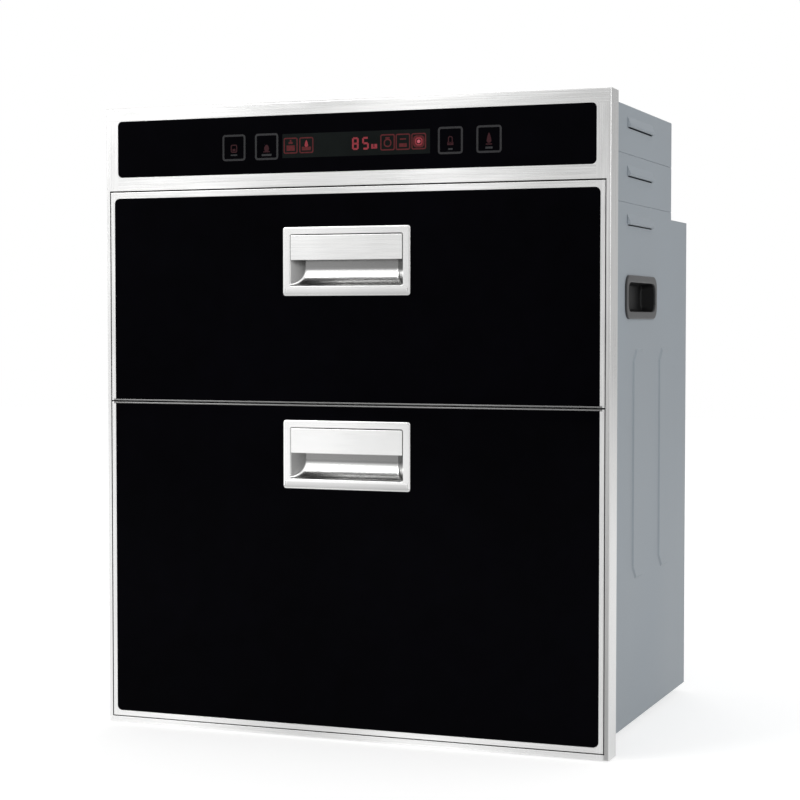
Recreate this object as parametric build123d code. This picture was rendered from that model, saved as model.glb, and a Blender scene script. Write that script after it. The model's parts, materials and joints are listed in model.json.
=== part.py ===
from build123d import *
import math
import os

# Built-in dish sterilizer cabinet: a stainless front frame with a black control panel over two
# drawers, a stepped sheet-steel body behind it, and telescopic slides that carry the drawers.
# Millimetres. X to the right, Y to the back, Z up. The origin is the centre of the overall box,
# at the underside of the feet.

# ---- driving dimensions ------------------------------------------------------------------

# how far a cutting block runs past the face that it opens
overrun = 1.0

# front frame
frame_width = 598.0
frame_height = 708.0
frame_depth = 30.0
frame_sheet = 1.2
frame_edge_radius = 2.5
frame_floor_gap = 1.0
top_band = 15.5
side_band = 5.0
bottom_band = 6.5
crossbar_height = 15.5
face_sheet = 1.2
face_margin = 0.6
flange_step = 0.4

# control panel
control_side_margin = 16.0
control_glass_height = 63.5
control_glass_radius = 5.0
glass_thickness = 4.0
fit_gap = 0.3
carrier_lip = 5.0
carrier_depth = 16.0
carrier_floor = 1.5
display_width = 174.0
display_height = 26.0
display_offset = 11.0
display_clearance = 1.0
board_thickness = 1.6
board_height = 44.0
board_width = 350.0
board_gap = 6.0
board_post = 8.0

# body shell behind the frame
flange_overlap_side = 18.0
flange_overlap_top = 4.0
foot_height = 10.0
foot_radius = 14.0
foot_inset = 46.0
shell_sheet = 0.8
shell_depth = 402.8
bay_depth = 318.8
tier_height = 54.0
step_drop = 9.0
fold_width = 11.0
seam_radius = 1.1
seam_edge_radius = 0.7
base_flange = 8.0

# pressed features of the body sides
louvre_length = 117.0
louvre_height = 12.0
louvre_rise = 4.0
louvre_start = 106.0
louvre_drop = 18.0
swage_width = 58.0
swage_corner = 14.0
swage_rise = 1.6
swage_flank = 60.0
swage_rise_from_base = 162.0
swage_drop = 154.0
swage_centres = (163.0, 287.0)
grip_width = 141.0
grip_height = 49.0
grip_rim = 8.0
grip_rim_rise = 2.5
grip_depth = 17.0
grip_wall = 2.0
grip_start = 98.0
grip_drop = 71.0
grip_radius = 14.0

# vent slots in the rear cover
vent_rows = 8
vent_pitch = 12.0
vent_length = 120.0
vent_height = 4.0
vent_offset = 120.0
vent_drop = 74.0

# drawer fronts
drawer_side_gap = 1.0
drawer_top_gap = 1.5
drawer_mid_gap = 1.6
lower_front_height = 364.3
side_border = 5.5
upper_top_border = 7.4
mid_border = 1.8
lower_bottom_border = 6.4
front_sheet = 0.8
front_depth = 19.0
front_corner_radius = 6.0
front_edge_radius = 0.7
pan_flange = 12.0
liner_depth = 8.0
liner_inset = 3.0
liner_bevel = 2.0
seal_width = 7.0
seal_gap = 0.3
seal_lap = 1.0

# recessed pull handles
handle_width = 151.5
handle_height = 76.5
handle_proud = 2.0
handle_rim = 8.5
handle_rim_bottom = 11.0
handle_corner = 2.4
handle_bevel = 1.2
handle_wall = 1.6
handle_pocket_depth = 17.0
handle_lap = 3.5
grip_plate_height = 28.5
grip_plate_thickness = 2.2
grip_plate_groove = 0.9
grip_plate_edge = 0.9
handle_scoop_radius = 16.5
handle_end_slant = 12.0
handle_roof_wall = 6.0
handle_finger_gap = 3.0
handle_throat = 14.0
upper_handle_drop = 43.0
lower_handle_drop = 17.0

# inner chambers
chamber_side_space = 23.0
chamber_depth = 360.0
chamber_sheet = 0.8
chamber_top_gap = 6.8

# telescopic slides
slide_height = 45.0
slide_thickness = 12.7
slide_overlap = 46.0
slide_sheet = 1.2
slide_ball = 3.2
slide_lip = 1.4
slide_web_gap = 0.3
slide_setback = 3.0
slide_lift = 16.0
slide_travel = 300.0
cage_sheet = 0.6
cage_length = 150.0
ball_clearance = 0.08

# rack carriers, drip trays and wire racks
carrier_sheet = 1.2
carrier_flange = 15.0
carrier_length = 340.0
carrier_bar_height = 27.0
tray_sheet = 0.8
tray_depth = 14.0
tray_rim = 12.0
tray_side_gap = 0.6
tray_end_gap = 1.0
tray_corner = 14.0
rim_wire = 5.0
grid_wire = 3.6
upper_rack_height = 105.0
lower_rack_height = 150.0
rack_hoop_count = 4
rack_long_count = 2
upper_prong_height = 52.0
lower_prong_height = 96.0
upper_prongs = 6
lower_prongs = 5
prong_row_width = 236.0
prong_row_share = 0.7
prong_margin = 12.0
prong_corner = 12.0
rack_corner = 16.0
rack_side_gap = 8.0
rack_end_gap = 28.0
rack_floor_gap = 0.2
weld = 0.4

# circulation fan above the upper chamber
fan_centre_depth = 150.0
fan_radius = 46.0
fan_blades = 5
fan_hub_radius = 13.0
fan_hub_height = 12.0
fan_blade_thickness = 1.4
fan_blade_height = 19.2
fan_blade_root = 3.0
fan_blade_pitch = 28.0
fan_ceiling_gap = 3.0
shaft_radius = 3.0
shaft_clearance = 0.05
shaft_hole_gap = 2.0
shaft_end_gap = 1.0
motor_width = 62.0
motor_core = 20.0
motor_height = 42.0
motor_bracket = 26.0
motor_flange = 2.0
motor_foot = 8.0
motor_corner = 7.75
motor_cutout_gap = 10.0
guard_radius = 62.0
guard_depth = 24.0
guard_sheet = 1.0
guard_sides = 8
guard_slot = 6.0
guard_slot_start = 13.6
guard_slot_length = 34.0

# lamps and heaters
uv_radius = 8.0
uv_length = 300.0
uv_drop = 38.0
heater_radius = 6.0
heater_length = 400.0
heater_heights = (110.0, 205.0)
tube_standoff = 17.0
holder_size = 26.0
holder_depth = 16.0
holder_bevel = 5.2
reflector_sheet = 0.8
reflector_height = 170.0
reflector_flare = 9.0
reflector_bend = 10.0
reflector_end_gap = 1.0
grille_gap = 7.0
grille_side_gap = 2.0
grille_overhang = 6.0
grille_bars = 6
grille_end_space = 8.0
grille_weld = 1.4

# electrics in the control bay and the rear service space
power_board_length = 160.0
power_board_depth = 110.0
power_board_side_space = 60.0
power_board_setback = 100.0
board_leg = 6.0
board_leg_height = 10.0
board_leg_inset = 3.0
relay_count = 3
relay_length = 20.0
relay_depth = 16.0
relay_height = 16.0
relay_pitch = 26.0
component_inset = 12.0
capacitor_radius = 9.0
capacitor_height = 24.0
capacitor_inset = 30.0
supply_length = 48.0
supply_depth = 33.0
supply_height = 12.0
transformer_width = 60.0
transformer_depth = 50.0
transformer_height = 44.0
transformer_side_space = 90.0
transformer_setback = 238.0
bobbin_width = 36.0
bobbin_depth = 66.0
bobbin_height = 26.0
thermostat_x = 60.0
thermostat_drop = 60.0
thermostat_radius = 8.0
thermostat_height = 12.0
thermostat_flange = 44.0
thermostat_flange_height = 10.0
thermostat_flange_sheet = 1.2
reed_length = 26.0
reed_depth = 9.0
reed_side_gap = 3.0
reed_fold_gap = 2.0
lower_reed_drop = 70.0
upper_reed_drop = 90.0
magnet_length = 20.0
magnet_depth = 5.0
magnet_side_gap = 1.0

# cord gland in the top of the rear step
gland_bore_radius = 4.5
gland_radius = 9.0
gland_nut_radius = 12.0
gland_nut_height = 5.0
gland_length = 20.0
gland_side_space = 66.0

# fasteners and fixing holes
screw_radius = 1.9
screw_head_radius = 3.6
screw_head_height = 1.8
screw_length = 6.0
screw_clearance = 0.15
screw_inset = 60.0
fixing_hole_radius = 2.3
fixing_hole_inset = 11.0
fixing_hole_rise = 109.0
fixing_hole_drop = 149.0

# ---- planes worked out from the sizes ----------------------------------------------------

overall_depth = handle_proud + frame_depth + face_sheet + shell_depth + screw_head_height
y_bezel = -overall_depth / 2
y_frame = y_bezel + handle_proud
y_face = y_frame + frame_depth
y_shell = y_face + face_sheet
y_rear = y_shell + shell_depth
y_bay_rear = y_shell + bay_depth
y_chamber_rear = y_shell + chamber_depth
y_gland = (y_chamber_rear + chamber_sheet + y_rear) / 2
y_flange = y_face - flange_step

z_frame_bottom = frame_floor_gap
z_frame_top = z_frame_bottom + frame_height
z_control_top = z_frame_top - top_band
z_control_bottom = z_control_top - control_glass_height
z_opening_top = z_control_bottom - crossbar_height
z_opening_bottom = z_frame_bottom + bottom_band

z_lower_bottom = z_opening_bottom + drawer_side_gap
z_lower_front = (z_lower_bottom, z_lower_bottom + lower_front_height)
z_upper_front = (z_lower_front[1] + drawer_mid_gap, z_opening_top - drawer_top_gap)
fixing_hole_heights = (z_frame_bottom + fixing_hole_rise, z_frame_top - fixing_hole_drop)

x_frame = frame_width / 2
x_opening = x_frame - side_band
x_front = x_opening - drawer_side_gap
x_shell = x_frame - flange_overlap_side
x_shell_inside = x_shell - shell_sheet
x_control = x_frame - control_side_margin
x_chamber = x_shell - chamber_side_space
x_gland = gland_side_space - x_shell

z_body_bottom = foot_height
z_body_top = z_frame_top - flange_overlap_top
z_upper_seam = z_body_top - tier_height
z_lower_seam = z_upper_seam - tier_height
z_step = z_lower_seam - step_drop

# each chamber's mouth lies inside its drawer's seal, which lies on the flat of the drawer's liner
seal_reach = liner_inset + liner_bevel + seal_width + seal_lap
z_lower_chamber = (z_lower_front[0] + seal_reach, z_lower_front[1] - seal_reach)
z_upper_chamber = (z_upper_front[0] + seal_reach, z_step - chamber_top_gap)

y_front_back = y_frame + front_depth
y_liner_back = y_front_back + liner_depth
x_slide_inside = x_chamber - slide_thickness
upper_slide_z = z_upper_chamber[0] + slide_lift
lower_slide_z = z_lower_chamber[0] + slide_lift


# ---- building helpers --------------------------------------------------------------------

def block(x, y, z):
    """A box from three (low, high) pairs."""
    centre = [(low + high) / 2 for low, high in (x, y, z)]
    size = [high - low for low, high in (x, y, z)]
    return Pos(*centre) * Box(*size)


def front_plane(x, y, z):
    """A drawing plane that faces the front, with its own X to the right and Y up."""
    return Plane(origin=(x, y, z), x_dir=(1, 0, 0), z_dir=(0, -1, 0))


def front_plate(x, z, y, radius=0.0):
    """A plate that faces the front, from (low, high) pairs, with rounded corners."""
    width, height = x[1] - x[0], z[1] - z[0]
    outline = RectangleRounded(width, height, radius) if radius else Rectangle(width, height)
    plane = front_plane((x[0] + x[1]) / 2, y[0], (z[0] + z[1]) / 2)
    return extrude(plane * outline, amount=-(y[1] - y[0]))


def mirrored(shape):
    """The same shape on the other side of the cabinet."""
    return mirror(shape, about=Plane.YZ)


def on_both_sides(shape):
    return [shape, mirrored(shape)]


def symmetric(half):
    """A (low, high) pair about the middle of the cabinet."""
    return (-half, half)


def rod(start, end, radius):
    """A round bar between two points."""
    axis = Vector(*end) - Vector(*start)
    return extrude(Plane(origin=start, z_dir=axis) * Circle(radius), amount=axis.length)


def faceted_rod(start, end, radius, sides):
    """A bar of many flat sides between two points, for small pieces that repeat."""
    axis = Vector(*end) - Vector(*start)
    return extrude(Plane(origin=start, z_dir=axis) * RegularPolygon(radius, sides), amount=axis.length)


def wire(points, diameter, closed=False):
    """A bent wire of six-sided section, mitred at its bends."""
    path = Polyline(*points, close=closed)
    section = Plane(origin=path @ 0, z_dir=path % 0) * RegularPolygon(diameter / 2, 6)
    return sweep(section, path=path, transition=Transition.RIGHT)


os.makedirs("parts", exist_ok=True)


def save(node, *pieces):
    """Writes one named node, a single solid or a group of separate ones."""
    solids = [solid for piece in pieces for solid in piece.solids()]
    shape = solids[0] if len(solids) == 1 else Compound(solids)
    export_step(shape, f"parts/{node}.step")


# ---- front frame and face plate ----------------------------------------------------------

def flange_band(y):
    """The ring of the front's outline that overlaps the furniture round the body."""
    outer = front_plate(symmetric(x_frame + overrun), (z_frame_bottom - overrun, z_frame_top + overrun), y)
    body = front_plate(
        symmetric(x_shell + fit_gap),
        (z_body_bottom - fit_gap, z_body_top + fit_gap),
        (y[0] - overrun, y[1] + overrun),
    )
    return outer - body


def front_frame():
    """Folded stainless frame: a face with two openings and returns that run back from its edges."""
    depth = (y_frame, y_face)
    opening = (symmetric(x_opening), (z_opening_bottom, z_opening_top))
    frame = front_plate(symmetric(x_frame), (z_frame_bottom, z_frame_top), depth)
    face = frame.faces().sort_by(Axis.Y)[0]
    frame = fillet(face.edges(), frame_edge_radius)
    hollow = front_plate(
        symmetric(x_frame - frame_sheet),
        (z_frame_bottom + frame_sheet, z_frame_top - frame_sheet),
        (y_frame + frame_sheet, y_face + overrun),
    )
    opening_returns = front_plate(
        symmetric(x_opening + frame_sheet),
        (z_opening_bottom - frame_sheet, z_opening_top + frame_sheet),
        depth,
    )
    control_window = front_plate(
        symmetric(x_control + fit_gap),
        (z_control_bottom - fit_gap, z_control_top + fit_gap),
        (y_frame - overrun, y_frame + frame_sheet + overrun),
        control_glass_radius + fit_gap,
    )
    drawer_opening = front_plate(*opening, (y_frame - overrun, y_face + overrun))
    frame = frame - (hollow - opening_returns) - control_window - drawer_opening
    return frame - flange_band((y_flange, y_face + overrun))


def face_plate():
    """Sheet behind the frame that ties it to the body; its rim is joggled forward to meet the niche."""
    x_plate = x_frame - face_margin
    z_plate = (z_frame_bottom + face_margin, z_frame_top - face_margin)
    plate = front_plate(symmetric(x_plate), z_plate, (y_flange, y_shell))
    plate -= flange_band((y_shell - flange_step, y_shell + overrun))
    plate -= front_plate(
        symmetric(x_shell + fit_gap),
        (z_body_bottom - fit_gap, z_body_top + fit_gap),
        (y_flange - overrun, y_face),
    )
    through = (y_flange - overrun, y_shell + overrun)
    for z in (z_lower_chamber, z_upper_chamber):
        plate -= front_plate(symmetric(x_chamber), z, through)
    plate -= front_plate(
        symmetric(board_width / 2 + carrier_lip),
        (z_control_bottom + carrier_lip, z_control_top - carrier_lip),
        through,
    )
    for x in symmetric(x_frame - fixing_hole_inset):
        for z in fixing_hole_heights:
            plate -= rod((x, through[0], z), (x, through[1], z), fixing_hole_radius)
    return plate


# ---- control panel -----------------------------------------------------------------------

z_control_middle = (z_control_bottom + z_control_top) / 2
y_carrier = y_frame + frame_sheet
y_glass_back = y_frame + glass_thickness
y_board = y_glass_back + carrier_floor + board_gap


def control_glass():
    return front_plate(
        symmetric(x_control),
        (z_control_bottom, z_control_top),
        (y_frame, y_glass_back),
        control_glass_radius,
    )


def control_carrier():
    """Plastic tray that holds the glass in the frame and the display board behind it."""
    x = symmetric(x_control + carrier_lip)
    z = (z_control_bottom - carrier_lip, z_control_top + carrier_lip)
    carrier = front_plate(x, z, (y_carrier, y_carrier + carrier_depth))
    carrier -= front_plate(
        symmetric(x_control + fit_gap),
        (z_control_bottom - fit_gap, z_control_top + fit_gap),
        (y_carrier - overrun, y_glass_back),
        control_glass_radius + fit_gap,
    )
    wall = carrier_floor
    carrier -= front_plate(
        (x[0] + wall, x[1] - wall),
        (z[0] + wall, z[1] - wall),
        (y_glass_back + carrier_floor, y_carrier + carrier_depth + overrun),
    )
    window_x = (display_offset - display_width / 2, display_offset + display_width / 2)
    window_z = (z_control_middle - display_height / 2, z_control_middle + display_height / 2)
    carrier -= front_plate(window_x, window_z, (y_glass_back - overrun, y_board))
    for side in (-1, 1):
        middle = side * (board_width / 2 - board_post)
        carrier += front_plate(
            (middle - board_post / 2, middle + board_post / 2),
            (z_control_middle - board_post / 2, z_control_middle + board_post / 2),
            (y_glass_back + carrier_floor, y_board),
        )
    return carrier


def display_board():
    """Touch and display board, with the light-emitting module that stands in the carrier's window."""
    board = front_plate(
        symmetric(board_width / 2),
        (z_control_middle - board_height / 2, z_control_middle + board_height / 2),
        (y_board, y_board + board_thickness),
    )
    half_width = display_width / 2 - display_clearance
    half_height = display_height / 2 - display_clearance
    return board + front_plate(
        (display_offset - half_width, display_offset + half_width),
        (z_control_middle - half_height, z_control_middle + half_height),
        (y_glass_back + fit_gap, y_board),
    )


# ---- body shell --------------------------------------------------------------------------

def louvre(z_bottom):
    """Pressed louvre on the right side: a hooded rise with its slot at the lower edge."""
    y_start = y_shell + louvre_start
    outline = [
        (x_shell_inside, z_bottom),
        (x_shell + louvre_rise, z_bottom),
        (x_shell + louvre_rise, z_bottom + 2 * shell_sheet),
        (x_shell, z_bottom + louvre_height),
        (x_shell_inside, z_bottom + louvre_height),
    ]
    plane = front_plane(0, y_start, 0)
    hood = extrude(plane * make_face(Polyline(*outline, close=True)), amount=-louvre_length)
    ends = hood.edges().filter_by(GeomType.LINE).group_by(Axis.X)[-1].filter_by(Axis.Z)
    return chamfer(ends, louvre_rise * 0.7)


def louvre_slot(z_bottom):
    """The space inside a louvre's hood, open at its lower edge."""
    y_start = y_shell + louvre_start
    inset = louvre_rise
    outline = [
        (x_shell_inside - overrun, z_bottom - overrun),
        (x_shell + louvre_rise - shell_sheet, z_bottom - overrun),
        (x_shell + louvre_rise - shell_sheet, z_bottom + shell_sheet),
        (x_shell_inside, z_bottom + louvre_height - 2 * shell_sheet),
        (x_shell_inside - overrun, z_bottom + louvre_height - 2 * shell_sheet),
    ]
    plane = front_plane(0, y_start + inset, 0)
    face = make_face(Polyline(*outline, close=True))
    return extrude(plane * face, amount=-(louvre_length - 2 * inset))


def louvre_bottom(z_top):
    """The lower edge of the louvre in the tier that ends at z_top."""
    return z_top - louvre_drop - louvre_height / 2


def with_louvre(panel, z_bottom):
    return panel + louvre(z_bottom) - louvre_slot(z_bottom)


def swage(middle):
    """A broad pressed stiffening bead with sloped flanks on the right side."""
    z_low, z_high = z_body_bottom + swage_rise_from_base, z_step - swage_drop
    plane = Plane(
        origin=(x_shell, y_shell + middle, (z_low + z_high) / 2), x_dir=(0, 1, 0), z_dir=(1, 0, 0)
    )
    outline = chamfer(Rectangle(swage_width, z_high - z_low).vertices(), swage_corner)
    return extrude(plane * outline, amount=swage_rise, taper=swage_flank)


def grip_opening(extra=0.0):
    """Half width and half height of the grip's cup, with room round it for the panel's hole."""
    half_width = grip_width / 2 - grip_rim + grip_wall + extra
    half_height = grip_height / 2 - grip_rim + grip_wall + extra
    return half_width, half_height


def grip_plane(x):
    middle = (y_shell + grip_start + grip_width / 2, z_step - grip_drop - grip_height / 2)
    return Plane(origin=(x, *middle), x_dir=(0, 1, 0), z_dir=(1, 0, 0))


def side_panel():
    """Right side of the deep lower body, with folded edges, beads, a louvre and the grip hole."""
    y_end = y_rear - shell_sheet
    outline = [
        (y_shell, z_body_bottom),
        (y_end, z_body_bottom),
        (y_end, z_step),
        (y_bay_rear, z_step),
        (y_bay_rear, z_lower_seam),
        (y_shell, z_lower_seam),
    ]
    plane = Plane(origin=(x_shell_inside, 0, 0), x_dir=(0, 1, 0), z_dir=(1, 0, 0))
    panel = extrude(plane * make_face(Polyline(*outline, close=True)), amount=shell_sheet)
    fold = (x_shell - fold_width, x_shell_inside)
    z_fold = (z_body_bottom, z_step - 2 * shell_sheet)
    panel += block(fold, (y_shell, y_shell + shell_sheet), (z_body_bottom, z_lower_seam))
    panel += block(fold, (y_end - shell_sheet, y_end), z_fold)
    z_top_fold = (z_lower_seam - shell_sheet, z_lower_seam)
    panel += block(fold, (y_shell, y_bay_rear - 2 * shell_sheet), z_top_fold)
    seam_edge = panel.edges().filter_by(Axis.Y).group_by(Axis.Z)[-1].sort_by(Axis.X)[-1]
    panel = fillet(seam_edge, seam_edge_radius)
    for middle in swage_centres:
        panel += swage(middle)
    panel = with_louvre(panel, louvre_bottom(z_lower_seam))
    half_width, half_height = grip_opening(fit_gap)
    hole_radius = grip_radius - grip_rim + grip_wall + fit_gap
    hole = RectangleRounded(2 * half_width, 2 * half_height, hole_radius)
    panel -= extrude(grip_plane(x_shell_inside - overrun) * hole, amount=3 * shell_sheet + overrun)
    for z in screw_heights():
        panel -= screw_hole(x_screw(), z)
    return panel


def bay_ring(z, closed_top):
    """One tier of the control bay: walls on both sides and the back, folded inwards at its edges."""
    y = (y_shell, y_bay_rear)
    ring = block(symmetric(x_shell), y, z)
    rear_edges = ring.faces().sort_by(Axis.Y)[-1].edges().filter_by(Axis.X)
    ring = fillet(ring.edges().filter_by(Axis.Y) + rear_edges, seam_radius)
    ring -= block(
        symmetric(x_shell_inside),
        (y_shell + shell_sheet, y_bay_rear - shell_sheet),
        (z[0] + shell_sheet, z[1] - shell_sheet),
    )
    x_fold = x_shell - fold_width
    z_cut_top = z[1] - shell_sheet if closed_top else z[1] + 1
    y_cut = (y_shell - overrun, y_bay_rear - fold_width)
    ring -= block(symmetric(x_fold), y_cut, (z[0] - overrun, z_cut_top))
    ring = with_louvre(ring, louvre_bottom(z[1]))
    return mirrored(with_louvre(mirrored(ring), louvre_bottom(z[1])))


def top_cover():
    return bay_ring((z_upper_seam, z_body_top), closed_top=True)


def bay_cover():
    return bay_ring((z_lower_seam, z_upper_seam), closed_top=False)


z_deck = (z_lower_seam - 2 * shell_sheet, z_lower_seam - shell_sheet)


def fan_axis():
    return (0.0, y_shell + fan_centre_depth)


def bay_deck():
    """Floor of the control bay, hung under the side panels' top folds."""
    y = (y_shell, y_bay_rear - 2 * shell_sheet)
    deck = block(symmetric(x_shell_inside), y, z_deck)
    z_through = (z_deck[0] - overrun, z_deck[1] + overrun)
    for side in (-1, 1):
        fold = sorted((side * x_shell_inside, side * (x_shell - fold_width)))
        deck -= block(fold, (y_shell - overrun, y_shell + shell_sheet), z_through)
    x_fan, y_fan = fan_axis()
    half = motor_width / 2 + motor_cutout_gap
    deck -= block((x_fan - half, x_fan + half), (y_fan - half, y_fan + half), z_through)
    return deck


def screw_heights():
    return [z_body_bottom + screw_inset, z_step - screw_inset]


def x_screw():
    return x_shell - fold_width / 2 - shell_sheet / 2


def screw_hole(x, z):
    """Clearance hole through the rear cover and the side panels' folds."""
    start = (x, y_rear - 2 * shell_sheet - overrun, z)
    return faceted_rod(start, (x, y_rear + overrun, z), screw_radius + screw_clearance, 8)


def rear_cover():
    """Back of the deep lower body, with the step's top, a lip up to the bay and vent slots."""
    cover = block(symmetric(x_shell), (y_rear - shell_sheet, y_rear), (z_body_bottom, z_step))
    step_y = (y_bay_rear - shell_sheet, y_rear - shell_sheet)
    cover += block(symmetric(x_shell_inside), step_y, (z_step - shell_sheet, z_step))
    lip_y = (y_bay_rear - shell_sheet, y_bay_rear)
    cover += block(symmetric(x_shell_inside), lip_y, (z_step - shell_sheet, z_lower_seam))
    for column in symmetric(vent_offset):
        for row in range(vent_rows):
            z = z_step - vent_drop - row * vent_pitch
            slot = (column - vent_length / 2, column + vent_length / 2)
            cover -= block(slot, (y_rear - 2 * shell_sheet, y_rear + overrun), (z, z + vent_height))
    for side in (-1, 1):
        for z in screw_heights():
            cover -= screw_hole(side * x_screw(), z)
    hole = extrude(RegularPolygon(gland_radius + fit_gap, 8), amount=4 * shell_sheet, both=True)
    return cover - Pos(x_gland, y_gland, z_step) * hole


def base_pan():
    """Bottom of the body, a tray whose edges turn up inside the side panels."""
    y = (y_shell + shell_sheet, y_rear - 2 * shell_sheet)
    pan = block(symmetric(x_shell_inside), y, (z_body_bottom, z_body_bottom + base_flange))
    pan -= block(
        symmetric(x_shell_inside - shell_sheet),
        (y[0] + shell_sheet, y[1] - shell_sheet),
        (z_body_bottom + shell_sheet, z_body_bottom + base_flange + overrun),
    )
    return pan


def feet():
    foot = faceted_rod((0, 0, 0), (0, 0, foot_height), foot_radius, 12)
    x = x_shell - foot_inset
    spots = [(side * x, y) for side in (-1, 1) for y in (y_shell + foot_inset, y_rear - foot_inset)]
    return [Pos(*spot, 0) * foot for spot in spots]


def panel_screws():
    """Hexagon-head screws that hold the rear cover on the side panels' folds."""
    head = extrude(RegularPolygon(screw_head_radius, 6), amount=screw_head_height)
    shank = faceted_rod((0, 0, 0), (0, 0, -screw_length), screw_radius, 8)
    screw = Rot(-90, 0, 0) * (head + shank)
    return [
        Pos(side * x_screw(), y_rear, z) * screw for side in (-1, 1) for z in screw_heights()
    ]


def side_grip():
    """Moulded carrying grip of the right side: a rim on the panel and a cup behind it."""
    half_width, half_height = grip_opening()
    rim = RectangleRounded(grip_width, grip_height, grip_radius)
    cup_radius = grip_radius - grip_rim + grip_wall
    cup = RectangleRounded(2 * half_width, 2 * half_height, cup_radius)
    mouth_half_width, mouth_half_height = half_width - grip_wall, half_height - grip_wall
    mouth = RectangleRounded(2 * mouth_half_width, 2 * mouth_half_height, cup_radius - grip_wall / 2)
    body = extrude(grip_plane(x_shell) * rim, amount=grip_rim_rise)
    body += extrude(grip_plane(x_shell) * cup, amount=-grip_depth)
    hollow_depth = grip_depth + grip_rim_rise - grip_wall
    return body - extrude(grip_plane(x_shell + grip_rim_rise) * mouth, amount=-hollow_depth)


# ---- chambers ----------------------------------------------------------------------------

def chamber(z):
    """Stainless liner, a five-sided box that is open at the front."""
    y_outer = (y_shell, y_chamber_rear + chamber_sheet)
    z_outer = (z[0] - chamber_sheet, z[1] + chamber_sheet)
    outer = block(symmetric(x_chamber + chamber_sheet), y_outer, z_outer)
    return outer - block(symmetric(x_chamber), (y_shell - overrun, y_chamber_rear), z)


def upper_chamber():
    liner = chamber(z_upper_chamber)
    x_fan, y_fan = fan_axis()
    top = (z_upper_chamber[1] - overrun, z_upper_chamber[1] + chamber_sheet + overrun)
    liner -= rod((x_fan, y_fan, top[0]), (x_fan, y_fan, top[1]), shaft_radius + shaft_hole_gap)
    return liner


def lower_chamber():
    return chamber(z_lower_chamber)


# ---- circulation fan ---------------------------------------------------------------------

z_ceiling = z_upper_chamber[1]
z_motor = z_ceiling + chamber_sheet


def fan_motor():
    """Shaded-pole motor: a foot on the upper chamber's ceiling, a laminated core and its brackets."""
    x, y = fan_axis()
    half = motor_width / 2
    z_foot = (z_motor, z_motor + motor_flange)
    motor = block((x - half - motor_foot, x + half + motor_foot), (y - half, y + half), z_foot)
    z_core = z_motor + (motor_height - motor_core) / 2
    core = block((x - half, x + half), (y - half, y + half), (z_core, z_core + motor_core))
    motor += chamfer(core.edges().filter_by(Axis.Z), motor_corner)
    bracket = motor_bracket / 2
    z_bracket = (z_motor, z_motor + motor_height)
    motor += block((x - bracket, x + bracket), (y - bracket, y + bracket), z_bracket)
    bore = shaft_radius + shaft_clearance
    return motor - rod((x, y, z_motor - overrun), (x, y, z_motor + motor_height / 2), bore)


def fan_impeller():
    """Hub, blades and the shaft that runs up into the motor."""
    x, y = fan_axis()
    z_top = z_ceiling - fan_ceiling_gap
    hub = faceted_rod((x, y, z_top - fan_hub_height), (x, y, z_top), fan_hub_radius, 12)
    hub += rod((x, y, z_top), (x, y, z_motor + motor_height / 2 - shaft_end_gap), shaft_radius)
    start = fan_hub_radius - fan_blade_root
    blade = Pos((start + fan_radius) / 2, 0, 0) * Rot(fan_blade_pitch, 0, 0) * Box(
        fan_radius - start, fan_blade_height, fan_blade_thickness
    )
    for i in range(fan_blades):
        hub += Pos(x, y, z_top - fan_hub_height / 2) * Rot(0, 0, i * 360 / fan_blades) * blade
    return hub


def fan_guard():
    """Folded eight-sided pan under the ceiling, slotted to keep dishes away from the blades."""
    x, y = fan_axis()
    z_bottom = z_ceiling - guard_depth
    outer = Pos(x, y, z_bottom) * extrude(RegularPolygon(guard_radius, guard_sides), amount=guard_depth)
    hollow = extrude(RegularPolygon(guard_radius - guard_sheet, guard_sides), amount=guard_depth)
    guard = outer - Pos(x, y, z_bottom + guard_sheet) * hollow
    slot = Pos(guard_slot_start + guard_slot_length / 2, 0, 0)
    slot *= Box(guard_slot_length, guard_slot, 4 * guard_sheet)
    for i in range(guard_sides):
        guard -= Pos(x, y, z_bottom) * Rot(0, 0, (i + 0.5) * 360 / guard_sides) * slot
    return guard


# ---- lamps, heaters and electrics --------------------------------------------------------

y_tubes = y_chamber_rear - tube_standoff
z_uv = z_upper_chamber[1] - uv_drop
z_heaters = [z_lower_chamber[0] + height for height in heater_heights]


def tube(length, z, radius):
    return rod((-length / 2, y_tubes, z), (length / 2, y_tubes, z), radius)


def holder(length, z, side):
    """A ceramic block on the chamber's back wall that carries one end of a tube."""
    x = sorted((side * length / 2, side * (length / 2 + holder_depth)))
    y = (y_tubes - holder_size / 2, y_chamber_rear)
    body = block(x, y, (z - holder_size / 2, z + holder_size / 2))
    front = body.faces().sort_by(Axis.Y)[0]
    return chamfer(front.edges().filter_by(Axis.X), holder_bevel)


def tube_holders():
    sizes = [(uv_length, z_uv)] + [(heater_length, z) for z in z_heaters]
    return [holder(*size, side) for size in sizes for side in (-1, 1)]


def heater_reflector():
    """Bright sheet behind the heaters, flared at its upper and lower edges."""
    half_width = heater_length / 2 - reflector_end_gap
    z_middle = sum(z_heaters) / 2
    half = reflector_height / 2
    z_bend = half - reflector_bend
    outline = [
        (y_chamber_rear, -z_bend),
        (y_chamber_rear - reflector_flare, -half),
        (y_chamber_rear - reflector_flare, -half - reflector_sheet),
        (y_chamber_rear, -z_bend - 2 * reflector_sheet),
    ]
    plane = Plane(origin=(-half_width, 0, z_middle), x_dir=(0, 1, 0), z_dir=(1, 0, 0))
    flare = extrude(plane * make_face(Polyline(*outline, close=True)), amount=2 * half_width)
    z_flat = z_bend + 2 * reflector_sheet
    sheet = block(
        symmetric(half_width),
        (y_chamber_rear - reflector_sheet, y_chamber_rear),
        (z_middle - z_flat, z_middle + z_flat),
    )
    upper = Pos(0, 0, 2 * z_middle) * mirror(flare, about=Plane.XY)
    return sheet + flare + upper


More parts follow.
